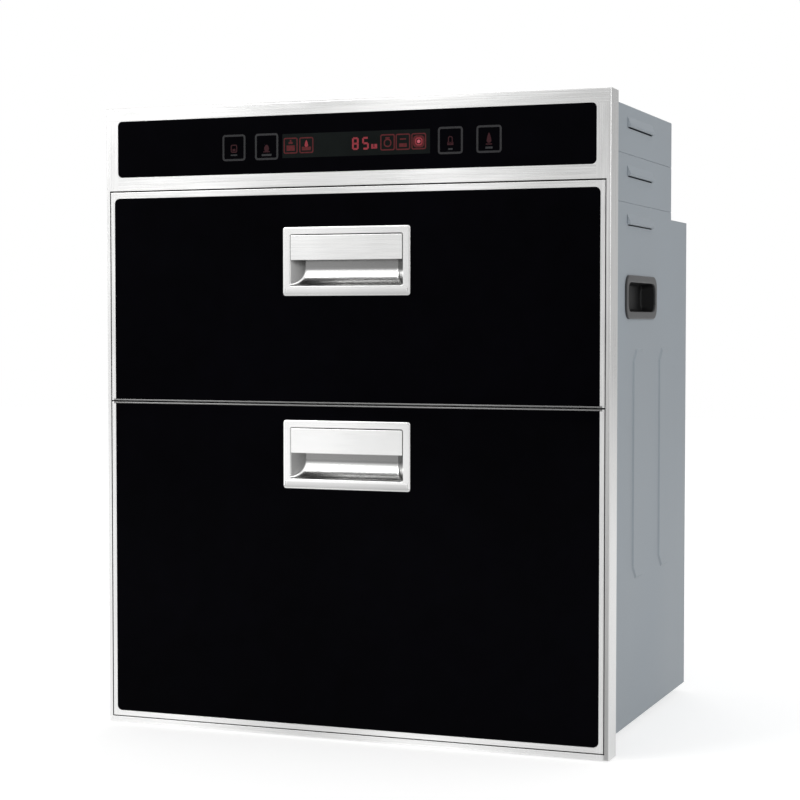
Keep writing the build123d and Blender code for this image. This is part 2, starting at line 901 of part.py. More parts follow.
def heater_guard():
    """Wire grille in front of the heaters, hooked on the chamber's back wall."""
    x_hoop = heater_length / 2 + holder_depth + grille_side_gap + grid_wire
    z_middle = sum(z_heaters) / 2
    half = reflector_height / 2 + grille_overhang
    y_grille = y_tubes - holder_size / 2 - grille_gap
    grille = None
    for x in symmetric(x_hoop):
        hoop = wire(
            [
                (x, y_chamber_rear, z_middle - half),
                (x, y_grille, z_middle - half),
                (x, y_grille, z_middle + half),
                (x, y_chamber_rear, z_middle + half),
            ],
            grid_wire,
        )
        grille = hoop if grille is None else grille + hoop
    x_bar = x_hoop + grid_wire
    z_end = half - grille_end_space
    for z in spaced(z_middle - z_end, z_middle + z_end, grille_bars):
        grille += wire([(-x_bar, y_grille - grille_weld, z), (x_bar, y_grille - grille_weld, z)], grid_wire)
    return grille


def power_board():
    """Mains and relay board on legs over the bay's deck, with its main components."""
    x_end = x_shell_inside - power_board_side_space
    x = (x_end - power_board_length, x_end)
    y = (y_shell + power_board_setback, y_shell + power_board_setback + power_board_depth)
    z_board = z_deck[1] + board_leg_height
    top = z_board + board_thickness
    board = block(x, y, (z_board, top))
    for leg_x in (x[0] + board_leg_inset, x[1] - board_leg_inset - board_leg):
        for leg_y in (y[0] + board_leg_inset, y[1] - board_leg_inset - board_leg):
            leg = ((leg_x, leg_x + board_leg), (leg_y, leg_y + board_leg))
            board += block(*leg, (z_deck[1], z_board))
    start = (x[0] + component_inset, y[0] + component_inset)
    for i in range(relay_count):
        relay_x = start[0] + i * relay_pitch
        relay = ((relay_x, relay_x + relay_length), (start[1], start[1] + relay_depth))
        board += block(*relay, (top, top + relay_height))
    capacitor = (x[1] - capacitor_inset, y[1] - capacitor_inset)
    board += faceted_rod((*capacitor, top), (*capacitor, top + capacitor_height), capacitor_radius, 12)
    supply_y = (y[1] - component_inset - supply_depth, y[1] - component_inset)
    return board + block((start[0], start[0] + supply_length), supply_y, (top, top + supply_height))


def transformer():
    """Laminated core with its winding bobbin, on the deck behind the board."""
    x_middle = x_shell_inside - transformer_side_space - transformer_width / 2
    y_middle = y_shell + transformer_setback + transformer_depth / 2
    z_middle = z_deck[1] + transformer_height / 2
    core = Pos(x_middle, y_middle, z_middle) * Box(transformer_width, transformer_depth, transformer_height)
    return core + Pos(x_middle, y_middle, z_middle) * Box(bobbin_width, bobbin_depth, bobbin_height)


def thermostat():
    """Disc cut-out on the lower chamber's back wall, in the rear service space."""
    y = y_chamber_rear + chamber_sheet
    z = z_lower_chamber[1] - thermostat_drop
    flange = block(
        (thermostat_x - thermostat_flange / 2, thermostat_x + thermostat_flange / 2),
        (y, y + thermostat_flange_sheet),
        (z - thermostat_flange_height / 2, z + thermostat_flange_height / 2),
    )
    disc_end = (thermostat_x, y + thermostat_height, z)
    return flange + faceted_rod((thermostat_x, y, z), disc_end, thermostat_radius, 12)


x_reed = (x_chamber + chamber_sheet + reed_side_gap, x_shell - fold_width - reed_fold_gap)


def reed_heights():
    return [z_lower_front[1] - lower_reed_drop, z_upper_front[1] - upper_reed_drop]


def reed_switches():
    """Magnetic switches behind the face plate that sense each closed drawer."""
    y = (y_shell, y_shell + reed_depth)
    return [block(x_reed, y, (z, z + reed_length)) for z in reed_heights()]


def cord_gland():
    """Strain-relief gland with its nut, upright in the step's top, for the mains cord."""
    x, y = x_gland, y_gland
    z_inside = z_step - shell_sheet
    half = gland_length / 2
    body = faceted_rod((x, y, z_step - half), (x, y, z_step + half), gland_radius, 8)
    body += faceted_rod((x, y, z_step), (x, y, z_step + gland_nut_height), gland_nut_radius, 6)
    body += faceted_rod((x, y, z_inside - gland_nut_height), (x, y, z_inside), gland_nut_radius, 6)
    return body - rod((x, y, z_step - gland_length), (x, y, z_step + gland_length), gland_bore_radius)


# ---- telescopic slides -------------------------------------------------------------------

# Each section is drawn from the chamber's right wall inwards: u is the distance from the wall.

def channel(u, half_height, sheet, web_at_low, z_middle, y):
    """A rolled channel along Y: u is its (low, high) reach, and its web stands at one end of it."""
    x = (x_chamber - u[1], x_chamber - u[0])
    outer = block(x, y, (z_middle - half_height, z_middle + half_height))
    web_cut = (u[0] + sheet, u[1] + overrun) if web_at_low else (u[0] - overrun, u[1] - sheet)
    cut_x = (x_chamber - web_cut[1], x_chamber - web_cut[0])
    inner = half_height - sheet
    return outer - block(cut_x, (y[0] - overrun, y[1] + overrun), (z_middle - inner, z_middle + inner))


slide_length = slide_travel + slide_overlap
slide_y = (y_shell + slide_setback, y_shell + slide_setback + slide_length)
outer_half = slide_height / 2
mid_half = outer_half - slide_sheet - slide_ball
inner_half = mid_half - slide_sheet - slide_ball
outer_reach = (0.0, slide_thickness - 2 * slide_sheet)
cage_space = cage_sheet + 2 * slide_web_gap
mid_web = slide_sheet + cage_space
mid_reach = (mid_web, slide_thickness - slide_sheet)
inner_reach = (mid_web + slide_sheet + cage_space, slide_thickness)


def slide_outer(z_bottom):
    """Fixed member with a turned-in lip along each edge, on the chamber's wall."""
    z = z_bottom + outer_half
    member = channel(outer_reach, outer_half, slide_sheet, True, z, slide_y)
    lip_x = (x_chamber - outer_reach[1], x_chamber - outer_reach[1] + slide_sheet)
    lip = slide_lip
    for side in (-1, 1):
        edge = z + side * (outer_half - slide_sheet)
        member += block(lip_x, slide_y, sorted((edge, edge - side * lip)))
    return on_both_sides(member)


def slide_mid(z_bottom):
    """Middle member, which travels half as far as the drawer."""
    z = z_bottom + outer_half
    return on_both_sides(channel(mid_reach, mid_half, slide_sheet, True, z, slide_y))


def slide_inner(z_bottom):
    """Drawer member, with its web against the rack carrier."""
    z = z_bottom + outer_half
    return on_both_sides(channel(inner_reach, inner_half, slide_sheet, False, z, slide_y))


def ball_cage(z_bottom, web, raceway, row_reach):
    """Thin retainer between two members. Each edge's row of balls is one bar of the balls' height."""
    z = z_bottom + outer_half
    y_start = slide_y[0] + (slide_length - cage_length) / 2
    y = (y_start, y_start + cage_length)
    row = raceway - slide_ball / 2
    cage = channel((web, row_reach + cage_sheet), row + cage_sheet / 2, cage_sheet, True, z, y)
    bar_radius = (slide_ball / 2 - ball_clearance) / math.cos(math.pi / 6)
    for side in (-1, 1):
        plane = Plane(origin=(x_chamber - row_reach, y[0], z + side * row), x_dir=(1, 0, 0), z_dir=(0, 1, 0))
        cage += extrude(plane * RegularPolygon(bar_radius, 6), amount=cage_length)
    return on_both_sides(cage)


def outer_cage(z_bottom):
    """Retainer between the fixed and middle members."""
    row = (mid_reach[0] + outer_reach[1]) / 2
    return ball_cage(z_bottom, slide_sheet + slide_web_gap, outer_half - slide_sheet, row)


def inner_cage(z_bottom):
    """Retainer between the middle and drawer members."""
    row = (inner_reach[0] + mid_reach[1]) / 2
    web = mid_reach[0] + slide_sheet + slide_web_gap
    return ball_cage(z_bottom, web, mid_half - slide_sheet, row)


# ---- drawer fronts -----------------------------------------------------------------------

def handle_centre(z_front, drop):
    return z_front[1] - drop - handle_height / 2


def pocket_outline():
    """Half width and half height of the handle's pocket body where it passes the glass."""
    return handle_width / 2 - handle_lap, handle_height / 2 - handle_lap


def glass_outline(z, borders):
    """The drawer glass's (low, high) pairs inside the steel border."""
    return symmetric(x_front - side_border), (z[0] + borders[0], z[1] - borders[1])


def rounded_corners(shape, z, at_top):
    """Rounds a plate's two outer corners, at its top or at its bottom."""
    corners = shape.edges().filter_by(Axis.Y).group_by(Axis.Z)[-1 if at_top else 0]
    return fillet(corners, front_corner_radius)


def front_pan(z, borders, z_handle, rounded_top):
    """Stainless front pan: a border at the face, a joggle for the glass and returns to a rear flange."""
    sheet = front_sheet
    pan = front_plate(symmetric(x_front), z, (y_frame, y_front_back))
    pan = fillet(pan.faces().sort_by(Axis.Y)[0].edges(), front_edge_radius)
    pan -= front_plate(
        symmetric(x_front - sheet),
        (z[0] + sheet, z[1] - sheet),
        (y_frame + glass_thickness + sheet, y_front_back - sheet),
    )
    pan -= front_plate(
        symmetric(x_front - pan_flange),
        (z[0] + pan_flange, z[1] - pan_flange),
        (y_front_back - 2 * sheet, y_front_back + overrun),
    )
    x_glass, z_glass = glass_outline(z, borders)
    recess = front_plate(
        (x_glass[0] - fit_gap, x_glass[1] + fit_gap),
        (z_glass[0] - fit_gap, z_glass[1] + fit_gap),
        (y_frame - overrun, y_frame + glass_thickness),
    )
    pan -= rounded_corners(recess, z_glass, rounded_top)
    half_width, half_height = pocket_outline()
    return pan - front_plate(
        symmetric(half_width + fit_gap),
        (z_handle - half_height - fit_gap, z_handle + half_height + fit_gap),
        (y_frame - overrun, y_frame + glass_thickness + 2 * sheet),
    )


def drawer_glass(z, borders, z_handle, rounded_top):
    """Black tempered panel with the opening for the handle."""
    x_glass, z_glass = glass_outline(z, borders)
    glass = front_plate(x_glass, z_glass, (y_frame, y_frame + glass_thickness))
    glass = rounded_corners(glass, z_glass, rounded_top)
    half_width, half_height = pocket_outline()
    return glass - front_plate(
        symmetric(half_width + fit_gap),
        (z_handle - half_height - fit_gap, z_handle + half_height + fit_gap),
        (y_frame - overrun, y_frame + glass_thickness + overrun),
    )


def drawer_liner(z):
    """Inner skin of a drawer front, a shallow pan that closes its back."""
    x = symmetric(x_front - liner_inset)
    z_liner = (z[0] + liner_inset, z[1] - liner_inset)
    liner = block(x, (y_front_back, y_liner_back), z_liner)
    liner = chamfer(liner.faces().sort_by(Axis.Y)[-1].edges(), liner_bevel)
    wall = liner_bevel + front_sheet
    return liner - block(
        (x[0] + wall, x[1] - wall),
        (y_front_back - overrun, y_liner_back - front_sheet),
        (z_liner[0] + wall, z_liner[1] - wall),
    )


def drawer_seal(z_opening):
    """Rubber gasket on a drawer front's liner, which meets the face plate round the chamber's mouth."""
    y = (y_liner_back, y_face - seal_gap)
    x_in, z_in = x_chamber + seal_lap, (z_opening[0] - seal_lap, z_opening[1] + seal_lap)
    x_out = x_in + seal_width
    outline = block(symmetric(x_out), y, (z_in[0] - seal_width, z_in[1] + seal_width))
    outline = chamfer(outline.edges().filter_by(Axis.Y), seal_width / 2)
    return outline - block(symmetric(x_in), (y[0] - overrun, y[1] + overrun), z_in)


def handle_scoop(z_floor, z_top, y_back, half_width):
    """The handle's mouth from end to end: a floor that curves up into the back wall."""
    floor = Line((y_bezel, z_floor), (y_back - handle_scoop_radius, z_floor))
    curve = TangentArc(floor @ 1, (y_back, z_floor + handle_scoop_radius), tangent=floor % 1)
    walls = Polyline(curve @ 1, (y_back, z_top), (y_bezel, z_top), (y_bezel, z_floor))
    plane = Plane(origin=(-half_width, 0, 0), x_dir=(0, 1, 0), z_dir=(1, 0, 0))
    return extrude(plane * make_face(floor + curve + walls), amount=2 * half_width)


def front_taper(x_front, x_back, z, y_back):
    """A block behind the handle's front face that narrows towards its back."""
    outline = [(-x_front, y_bezel), (x_front, y_bezel), (x_back, y_back), (-x_back, y_back)]
    plane = Plane(origin=(0, 0, z[0]), x_dir=(1, 0, 0), z_dir=(0, 0, 1))
    return extrude(plane * make_face(Polyline(*outline, close=True)), amount=z[1] - z[0])


def handle_bezel(z_handle):
    """Cast handle: a bevelled rim over the glass and a pocket with a scooped floor and slant ends."""
    half_width, half_height = handle_width / 2, handle_height / 2
    pocket_half_width, pocket_half_height = pocket_outline()
    z_rim = (z_handle - half_height, z_handle + half_height)
    rim = front_plate(symmetric(half_width), z_rim, (y_bezel, y_frame))
    rim = chamfer(rim.edges().filter_by(Axis.Y), handle_corner)
    rim = chamfer(rim.faces().sort_by(Axis.Y)[0].edges(), handle_bevel)
    y_back = y_frame + handle_pocket_depth
    z_pocket = (z_handle - pocket_half_height, z_handle + pocket_half_height)
    casting = rim + front_plate(symmetric(pocket_half_width), z_pocket, (y_frame, y_back))
    z_floor = z_rim[0] + handle_rim_bottom
    z_roof = z_rim[1] - handle_rim
    z_plate = z_roof - grip_plate_height
    x_mouth = half_width - handle_rim
    x_deep = x_mouth - handle_end_slant
    y_cavity = y_back - handle_wall
    y_behind = y_bezel + grip_plate_groove + grip_plate_thickness
    casting -= front_plate(symmetric(x_mouth), (z_plate, z_roof), (y_bezel - overrun, y_behind))
    scoop = handle_scoop(z_floor, z_plate, y_cavity, x_mouth)
    casting -= scoop & front_taper(x_mouth, x_deep, z_rim, y_cavity)
    finger_space = ((z_plate - overrun, z_roof - handle_roof_wall), (y_behind + handle_finger_gap, y_cavity))
    casting -= front_plate(symmetric(x_deep), *finger_space)
    throat = ((z_plate - overrun, z_plate + handle_throat), (y_behind - overrun, y_cavity))
    return casting - front_plate(symmetric(x_deep), *throat)


def handle_plate(z_handle):
    """Flat grip plate across the upper half of the handle; fingers reach up behind it."""
    half_height = handle_height / 2
    z_roof = z_handle + half_height - handle_rim
    y = (y_bezel + grip_plate_groove, y_bezel + grip_plate_groove + grip_plate_thickness)
    x_mouth = handle_width / 2 - handle_rim
    plate = front_plate(
        symmetric(x_mouth - grip_plate_groove),
        (z_roof - grip_plate_height, z_roof - grip_plate_groove),
        y,
    )
    lower_front = plate.edges().filter_by(Axis.X).group_by(Axis.Z)[0].sort_by(Axis.Y)[0]
    return fillet(lower_front, grip_plate_edge)


# ---- rack carriers, trays and racks ------------------------------------------------------

x_carrier = x_slide_inside
x_carrier_inside = x_carrier - carrier_sheet


def rack_carrier(z_bottom):
    """Frame of a drawer: an L-shaped rail along each slide and a bar across the back."""
    y = (y_liner_back, y_liner_back + carrier_length)
    rail = block((x_carrier_inside, x_carrier), y, (z_bottom, z_bottom + slide_height))
    rail += block((x_carrier - carrier_flange, x_carrier), y, (z_bottom, z_bottom + carrier_sheet))
    rail += block(
        (x_carrier - carrier_flange, x_carrier),
        (y[0], y[0] + carrier_sheet),
        (z_bottom, z_bottom + slide_height),
    )
    bar_y = (y[1] - carrier_sheet, y[1])
    bar = block(symmetric(x_carrier), bar_y, (z_bottom, z_bottom + carrier_bar_height))
    return rail + mirrored(rail) + bar


def drip_tray(z_bottom):
    """Shallow pressed tray whose rim lies on the carrier's flanges."""
    z_rim = z_bottom + carrier_sheet
    y_carrier_end = y_liner_back + carrier_length - carrier_sheet
    y = (y_liner_back + carrier_sheet + tray_end_gap, y_carrier_end - tray_end_gap)
    tray = block(symmetric(x_carrier_inside - tray_side_gap), y, (z_rim, z_rim + tray_sheet))
    x_basin = x_carrier - carrier_flange - tray_end_gap
    y_basin = (y[0] + tray_rim, y[1] - tray_rim)
    z_basin = z_rim - tray_depth + tray_sheet
    basin = block(symmetric(x_basin), y_basin, (z_basin, z_rim + tray_sheet))
    basin = chamfer(basin.edges().filter_by(Axis.Z), tray_corner)
    hollow = block(
        symmetric(x_basin - tray_sheet),
        (y_basin[0] + tray_sheet, y_basin[1] - tray_sheet),
        (z_basin + tray_sheet, z_rim + 2 * tray_sheet),
    )
    hollow = chamfer(hollow.edges().filter_by(Axis.Z), tray_corner)
    return tray + basin - hollow


def rack_floor(z_bottom):
    """The height on which a rack's lowest wires lie: the drip tray's basin."""
    return z_bottom + carrier_sheet - tray_depth + 2 * tray_sheet


def bent_u(low, high, z, corner):
    """Points of a U in its own plane: down one wall, across the floor and up the other."""
    return [
        (low, z[1]), (low, z[0] + corner), (low + corner, z[0]),
        (high - corner, z[0]), (high, z[0] + corner), (high, z[1]),
    ]


def rim_loop(x, y, z, corner):
    """Points round a rectangle with cut corners."""
    return [
        (-x, y[0] + corner, z), (-x + corner, y[0], z), (x - corner, y[0], z), (x, y[0] + corner, z),
        (x, y[1] - corner, z), (x - corner, y[1], z), (-x + corner, y[1], z), (-x, y[1] - corner, z),
    ]


def spaced(low, high, count):
    """Evenly spaced places from low to high."""
    return [low + i * (high - low) / (count - 1) for i in range(count)]


def wire_rack(z_bottom, height, prongs, prong_height):
    """Welded dish rack: a rim, hoops for its walls and floor, and a row of plate prongs."""
    x = x_carrier - carrier_flange - rack_side_gap
    y = (y_liner_back + rack_end_gap, y_liner_back + carrier_length - rack_end_gap)
    half_grid, half_rim = grid_wire / 2, rim_wire / 2
    z_low = rack_floor(z_bottom) + half_grid + rack_floor_gap
    z_rim = z_low + height
    rack = wire(rim_loop(x, y, z_rim, rack_corner), rim_wire, closed=True)
    inside = half_rim + half_grid - weld
    for at in spaced(y[0] + 2 * rack_corner, y[1] - 2 * rack_corner, rack_hoop_count):
        hoop = [(u, at, w) for u, w in bent_u(-x + inside, x - inside, (z_low, z_rim), rack_corner)]
        rack += wire(hoop, grid_wire)
    z_long = z_low + grid_wire - weld
    half_row = x * prong_row_share
    for at in spaced(-half_row - prong_margin, half_row + prong_margin, rack_long_count):
        hoop = [(at, u, w) for u, w in bent_u(y[0] + inside, y[1] - inside, (z_long, z_rim), rack_corner)]
        rack += wire(hoop, grid_wire)
    middle = (y[0] + y[1]) / 2
    row = (middle - prong_row_width / 2, middle + prong_row_width / 2)
    top = z_low + prong_height
    for at in spaced(-half_row, half_row, prongs):
        loop = [
            (at, row[0], z_long), (at, row[0], top - prong_corner), (at, row[0] + prong_corner, top),
            (at, row[1] - prong_corner, top), (at, row[1], top - prong_corner), (at, row[1], z_long),
        ]
        rack += wire(loop, grid_wire)
    x_row = half_row + prong_margin
    for at in row:
        rack += wire([(-x_row, at, z_long), (x_row, at, z_long)], grid_wire)
    return rack


def magnet(z):
    """Magnet inside a drawer front that works the switch behind the face plate."""
    x = (x_reed[0] + magnet_side_gap, x_reed[1] - magnet_side_gap)
    y_back = y_liner_back - front_sheet
    z_low = z + (reed_length - magnet_length) / 2
    return block(x, (y_back - magnet_depth, y_back), (z_low, z_low + magnet_length))


# ---- the cabinet's nodes -----------------------------------------------------------------

save("front_frame", front_frame())
save("face_plate", face_plate())
save("control_glass", control_glass())
save("control_carrier", control_carrier())
save("display_board", display_board())
save("top_cover", top_cover())
save("bay_cover", bay_cover())
right_panel = side_panel()
save("side_panel_right", right_panel)
save("side_panel_left", mirrored(right_panel))
save("rear_cover", rear_cover())
save("base_pan", base_pan())
save("bay_deck", bay_deck())
save("feet", *feet())
save("side_grips", *on_both_sides(side_grip()))
save("upper_chamber", upper_chamber())
save("lower_chamber", lower_chamber())
save("fan_motor", fan_motor())
save("fan_impeller", fan_impeller())
save("fan_guard", fan_guard())
save("uv_lamp", tube(uv_length, z_uv, uv_radius))
save("heater_tubes", *[tube(heater_length, z, heater_radius) for z in z_heaters])
save("tube_holders", *tube_holders())
save("heater_reflector", heater_reflector())
save("heater_guard", heater_guard())
save("power_board", power_board())
save("transformer", transformer())
save("thermostat", thermostat())
save("reed_switches", *reed_switches())
save("cord_gland", cord_gland())
save("panel_screws", *panel_screws())

# ---- the drawers' nodes ------------------------------------------------------------------

drawers = {
    "upper": dict(
        front=z_upper_front, chamber=z_upper_chamber, borders=(mid_border, upper_top_border),
        rounded_top=True, handle_drop=upper_handle_drop, slide_z=upper_slide_z, reed=reed_heights()[1],
        rack=(upper_rack_height, upper_prongs, upper_prong_height),
    ),
    "lower": dict(
        front=z_lower_front, chamber=z_lower_chamber, borders=(lower_bottom_border, mid_border),
        rounded_top=False, handle_drop=lower_handle_drop, slide_z=lower_slide_z, reed=reed_heights()[0],
        rack=(lower_rack_height, lower_prongs, lower_prong_height),
    ),
}

for name, drawer in drawers.items():
    z_front, borders, rounded_top = drawer["front"], drawer["borders"], drawer["rounded_top"]
    z_handle = handle_centre(z_front, drawer["handle_drop"])
    slide_z = drawer["slide_z"]
    save(f"{name}_front_pan", front_pan(z_front, borders, z_handle, rounded_top))
    save(f"{name}_glass", drawer_glass(z_front, borders, z_handle, rounded_top))
    save(f"{name}_liner", drawer_liner(z_front))
    save(f"{name}_seal", drawer_seal(drawer["chamber"]))
    save(f"{name}_handle_bezel", handle_bezel(z_handle))
    save(f"{name}_handle_plate", handle_plate(z_handle))
    save(f"{name}_slide_outer", *slide_outer(slide_z))
    save(f"{name}_slide_mid", *slide_mid(slide_z))
    save(f"{name}_slide_inner", *slide_inner(slide_z))
    save(f"{name}_outer_cages", *outer_cage(slide_z))
    save(f"{name}_inner_cages", *inner_cage(slide_z))
    save(f"{name}_rack_carrier", rack_carrier(slide_z))
    save(f"{name}_drip_tray", drip_tray(slide_z))
    save(f"{name}_rack", wire_rack(slide_z, *drawer["rack"]))
    save(f"{name}_magnet", magnet(drawer["reed"]))
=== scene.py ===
import bpy, json, math
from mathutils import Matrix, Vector


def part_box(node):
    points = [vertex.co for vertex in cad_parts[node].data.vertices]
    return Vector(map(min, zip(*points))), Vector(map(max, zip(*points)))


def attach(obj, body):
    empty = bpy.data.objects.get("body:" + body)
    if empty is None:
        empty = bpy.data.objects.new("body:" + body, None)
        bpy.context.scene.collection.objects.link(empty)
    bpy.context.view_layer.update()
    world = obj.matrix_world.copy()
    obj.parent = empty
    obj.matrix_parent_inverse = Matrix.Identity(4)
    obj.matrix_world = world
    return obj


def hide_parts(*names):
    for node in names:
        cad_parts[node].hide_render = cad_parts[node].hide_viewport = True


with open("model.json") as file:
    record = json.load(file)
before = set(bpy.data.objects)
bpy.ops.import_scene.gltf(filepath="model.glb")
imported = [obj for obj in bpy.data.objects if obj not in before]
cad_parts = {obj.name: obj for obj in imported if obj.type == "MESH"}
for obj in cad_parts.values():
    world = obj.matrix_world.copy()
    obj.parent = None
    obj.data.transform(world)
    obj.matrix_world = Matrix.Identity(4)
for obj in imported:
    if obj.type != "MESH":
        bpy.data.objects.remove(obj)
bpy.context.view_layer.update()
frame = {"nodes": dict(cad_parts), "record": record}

mm = 0.001
nodeSlot = {part["node"]: part["material_slot"] for part in frame["record"]["subparts"]}
bodies = frame["record"]["behaviour"]["bodies"]
nodeBody = {node: body for body, nodes in bodies.items() for node in nodes}
drawers = ("upper", "lower")
bpy.ops.object.select_all(action="DESELECT")


# small tools for working on one piece at a time

def pick(piece):
    bpy.ops.object.select_all(action="DESELECT")
    piece.select_set(True)
    bpy.context.view_layer.objects.active = piece


def edit(piece, mode="VERT", action="SELECT"):
    pick(piece)
    bpy.ops.object.mode_set(mode="EDIT")
    bpy.ops.mesh.select_mode(type=mode)
    bpy.ops.mesh.select_all(action=action)


def leave():
    bpy.ops.object.mode_set(mode="OBJECT")


def selectAll():
    bpy.ops.mesh.select_all(action="SELECT")


def choose(piece, mode, test):
    # opens the piece in edit mode with only the edges or faces selected that pass the test
    edit(piece, mode, "DESELECT")
    leave()
    for item in piece.data.edges if mode == "EDGE" else piece.data.polygons:
        item.select = bool(test(item))
    bpy.ops.object.mode_set(mode="EDIT")


def pushFaces(x=0.0, y=0.0, z=0.0):
    bpy.ops.mesh.extrude_region_move(TRANSFORM_OT_translate={"value": (x, y, z)})


def pullEdges(way):
    bpy.ops.mesh.extrude_edges_move(TRANSFORM_OT_translate={"value": tuple(way)})


def bridgeRims(piece):
    # deletes the selected faces and joins the two open rims that they leave
    bpy.ops.mesh.delete(type="FACE")
    bpy.ops.mesh.select_mode(type="EDGE")
    bpy.ops.mesh.select_non_manifold()
    bpy.ops.mesh.bridge_edge_loops()
    leave()
    turnOut(piece)


def applyPlace(piece):
    pick(piece)
    bpy.ops.object.transform_apply(location=True, rotation=True, scale=True)


def started(name):
    # the primitive that was just added, with its place in its mesh
    piece = bpy.context.object
    piece.name = name
    applyPlace(piece)
    return piece


def addBlock(name, low, high):
    bpy.ops.mesh.primitive_cube_add(size=1, location=(Vector(low) + Vector(high)) / 2)
    bpy.context.object.scale = Vector(high) - Vector(low)
    return started(name)


def addRod(name, start, end, radius, sides=32):
    along = Vector(end) - Vector(start)
    bpy.ops.mesh.primitive_cylinder_add(vertices=sides, radius=radius, depth=along.length,
                                        location=(Vector(start) + Vector(end)) / 2,
                                        rotation=along.to_track_quat("Z", "Y").to_euler())
    return started(name)


def modify(piece, kind, **settings):
    pick(piece)
    modifier = piece.modifiers.new(kind.lower(), kind)
    for key, value in settings.items():
        setattr(modifier, key, value)
    bpy.ops.object.modifier_apply(modifier=modifier.name)


def roundEdges(piece, width, segments=2, angle=30):
    modify(piece, "BEVEL", width=width, segments=segments, limit_method="ANGLE",
           angle_limit=math.radians(angle), use_clamp_overlap=True)


def joined(name, pieces):
    bpy.ops.object.select_all(action="DESELECT")
    for piece in pieces:
        piece.select_set(True)
    bpy.context.view_layer.objects.active = pieces[0]
    if len(pieces) > 1:
        bpy.ops.object.join()
    pieces[0].name = name
    return pieces[0]


def discard(piece):
    pick(piece)
    bpy.ops.object.delete()


def turnOut(piece, merge=1e-6):
    # closes doubles and points all faces outwards
    edit(piece)
    bpy.ops.mesh.remove_doubles(threshold=merge)
    bpy.ops.mesh.normals_make_consistent(inside=False)
    leave()


def copyOf(piece, move=(0, 0, 0), turn=0.0, mirror=False):
    pick(piece)
    bpy.ops.object.duplicate()
    twin = bpy.context.object
    twin.location = Vector(move)
    twin.rotation_euler.z = turn
    twin.scale.x = -1 if mirror else 1
    applyPlace(twin)
    if mirror:
        turnOut(twin)
    return twin


def bothSides(name, piece):
    return joined(name, [piece, copyOf(piece, mirror=True)])


def place(piece, body, slotName, replaced=(), finish=None, angle=40):
    # flat faces keep their own normals, and the roundings between them take the shading
    pick(piece)
    bpy.ops.object.shade_smooth_by_angle(angle=math.radians(angle))
    modify(piece, "WEIGHTED_NORMAL", mode="FACE_AREA", weight=90, keep_sharp=True)
    piece.data.materials.clear()
    piece.data.materials.append(finishes[finish or slotName])
    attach(piece, body)
    if replaced:
        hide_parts(*replaced)
    return piece


def bentWire(name, points, diameter, bend, closed=False, sides=10, steps=5):
    # a wire that is pulled along its runs and spun round its bends
    points = [Vector(point) for point in points]
    start = (points[-1] + points[0]) / 2
    route = [start, *points, start] if closed else points
    along = route[1] - route[0]
    bpy.ops.mesh.primitive_circle_add(vertices=sides, radius=diameter / 2, location=route[0],
                                      rotation=along.to_track_quat("Z", "Y").to_euler())
    piece = started(name)
    edit(piece)
    at = route[0]
    for before, corner, after in zip(route, route[1:], route[2:]):
        inward, outward = (corner - before).normalized(), (after - corner).normalized()
        turn = inward.angle(outward)
        if turn < 0.01:
            continue
        trim = bend * math.tan(turn / 2)
        stop = corner - inward * trim
        pullEdges(stop - at)
        aside = (outward - inward * inward.dot(outward)).normalized()
        bpy.ops.mesh.spin(steps=steps, angle=-turn, center=tuple(stop + aside * bend),
                          axis=tuple(inward.cross(aside)))
        at = corner + outward * trim
    pullEdges(route[-1] - at)
    if not closed:
        selectAll()
        bpy.ops.mesh.fill_holes(sides=0)
    leave()
    turnOut(piece, merge=1e-5)
    return piece


def startRing(name, ring, corner, segments):
    # a rounded rectangle that faces the front: half width x, (low, high) z and place y
    centre = (0, ring["y"], sum(ring["z"]) / 2)
    bpy.ops.mesh.primitive_plane_add(size=2, location=centre, rotation=(math.pi / 2, 0, 0))
    bpy.context.object.scale = (ring["x"], (ring["z"][1] - ring["z"][0]) / 2, 1)
    piece = started(name)
    edit(piece)
    bpy.ops.mesh.bevel(offset=corner, segments=segments, affect="VERTICES")
    return piece


def stepRing(now, after):
    # extrudes the selected ring to the next place and size
    rise = sum(after["z"]) / 2 - sum(now["z"]) / 2
    pushFaces(y=after["y"] - now["y"], z=rise)
    sizes = (after["x"] / now["x"], 1, (after["z"][1] - after["z"][0]) / (now["z"][1] - now["z"][0]))
    bpy.ops.transform.resize(value=sizes, center_override=(0, after["y"], sum(after["z"]) / 2))


def ringLoft(name, rings, corner, segments=5):
    # the first ring keeps its face, so the body closes at both ends
    piece = startRing(name, rings[0], corner, segments)
    selectAll()
    for now, after in zip(rings, rings[1:]):
        stepRing(now, after)
    leave()
    turnOut(piece)
    return piece


def ringAt(x, z, y, grow=0.0):
    return {"x": x + grow, "z": (z[0] - grow, z[1] + grow), "y": y}


def quarter(steps):
    # sine, and one minus cosine, along a quarter turn
    turns = [i / steps * math.pi / 2 for i in range(1, steps + 1)]
    return [(math.sin(turn), 1 - math.cos(turn)) for turn in turns]


def spaced(low, high, count):
    return [low + i * (high - low) / (count - 1) for i in range(count)]


# every finish has its own grain, wear and roughness; the steel and handle finishes also carry painted sheen
# and shade
print("finishes")


def newMaterial(name, color, metallic, roughness):
    material = bpy.data.materials.new(name)
    material.use_nodes = True
    shader = material.node_tree.nodes["Principled BSDF"]
    shader.inputs["Base Color"].default_value = (*color, 1)
    shader.inputs["Metallic"].default_value = metallic
    shader.inputs["Roughness"].default_value = roughness
    return material, shader


def addNode(tree, kind, **values):
    node = tree.nodes.new(kind)
    for key, value in values.items():
        setattr(node, key, value)
    return node


def addMath(tree, operation, *values):
    # a math node whose inputs are numbers or other nodes' outputs
    node = addNode(tree, "ShaderNodeMath", operation=operation)
    for i, value in enumerate(values):
        if isinstance(value, (int, float)):
            node.inputs[i].default_value = value
        else:
            tree.links.new(value, node.inputs[i])
    return node.outputs[0]


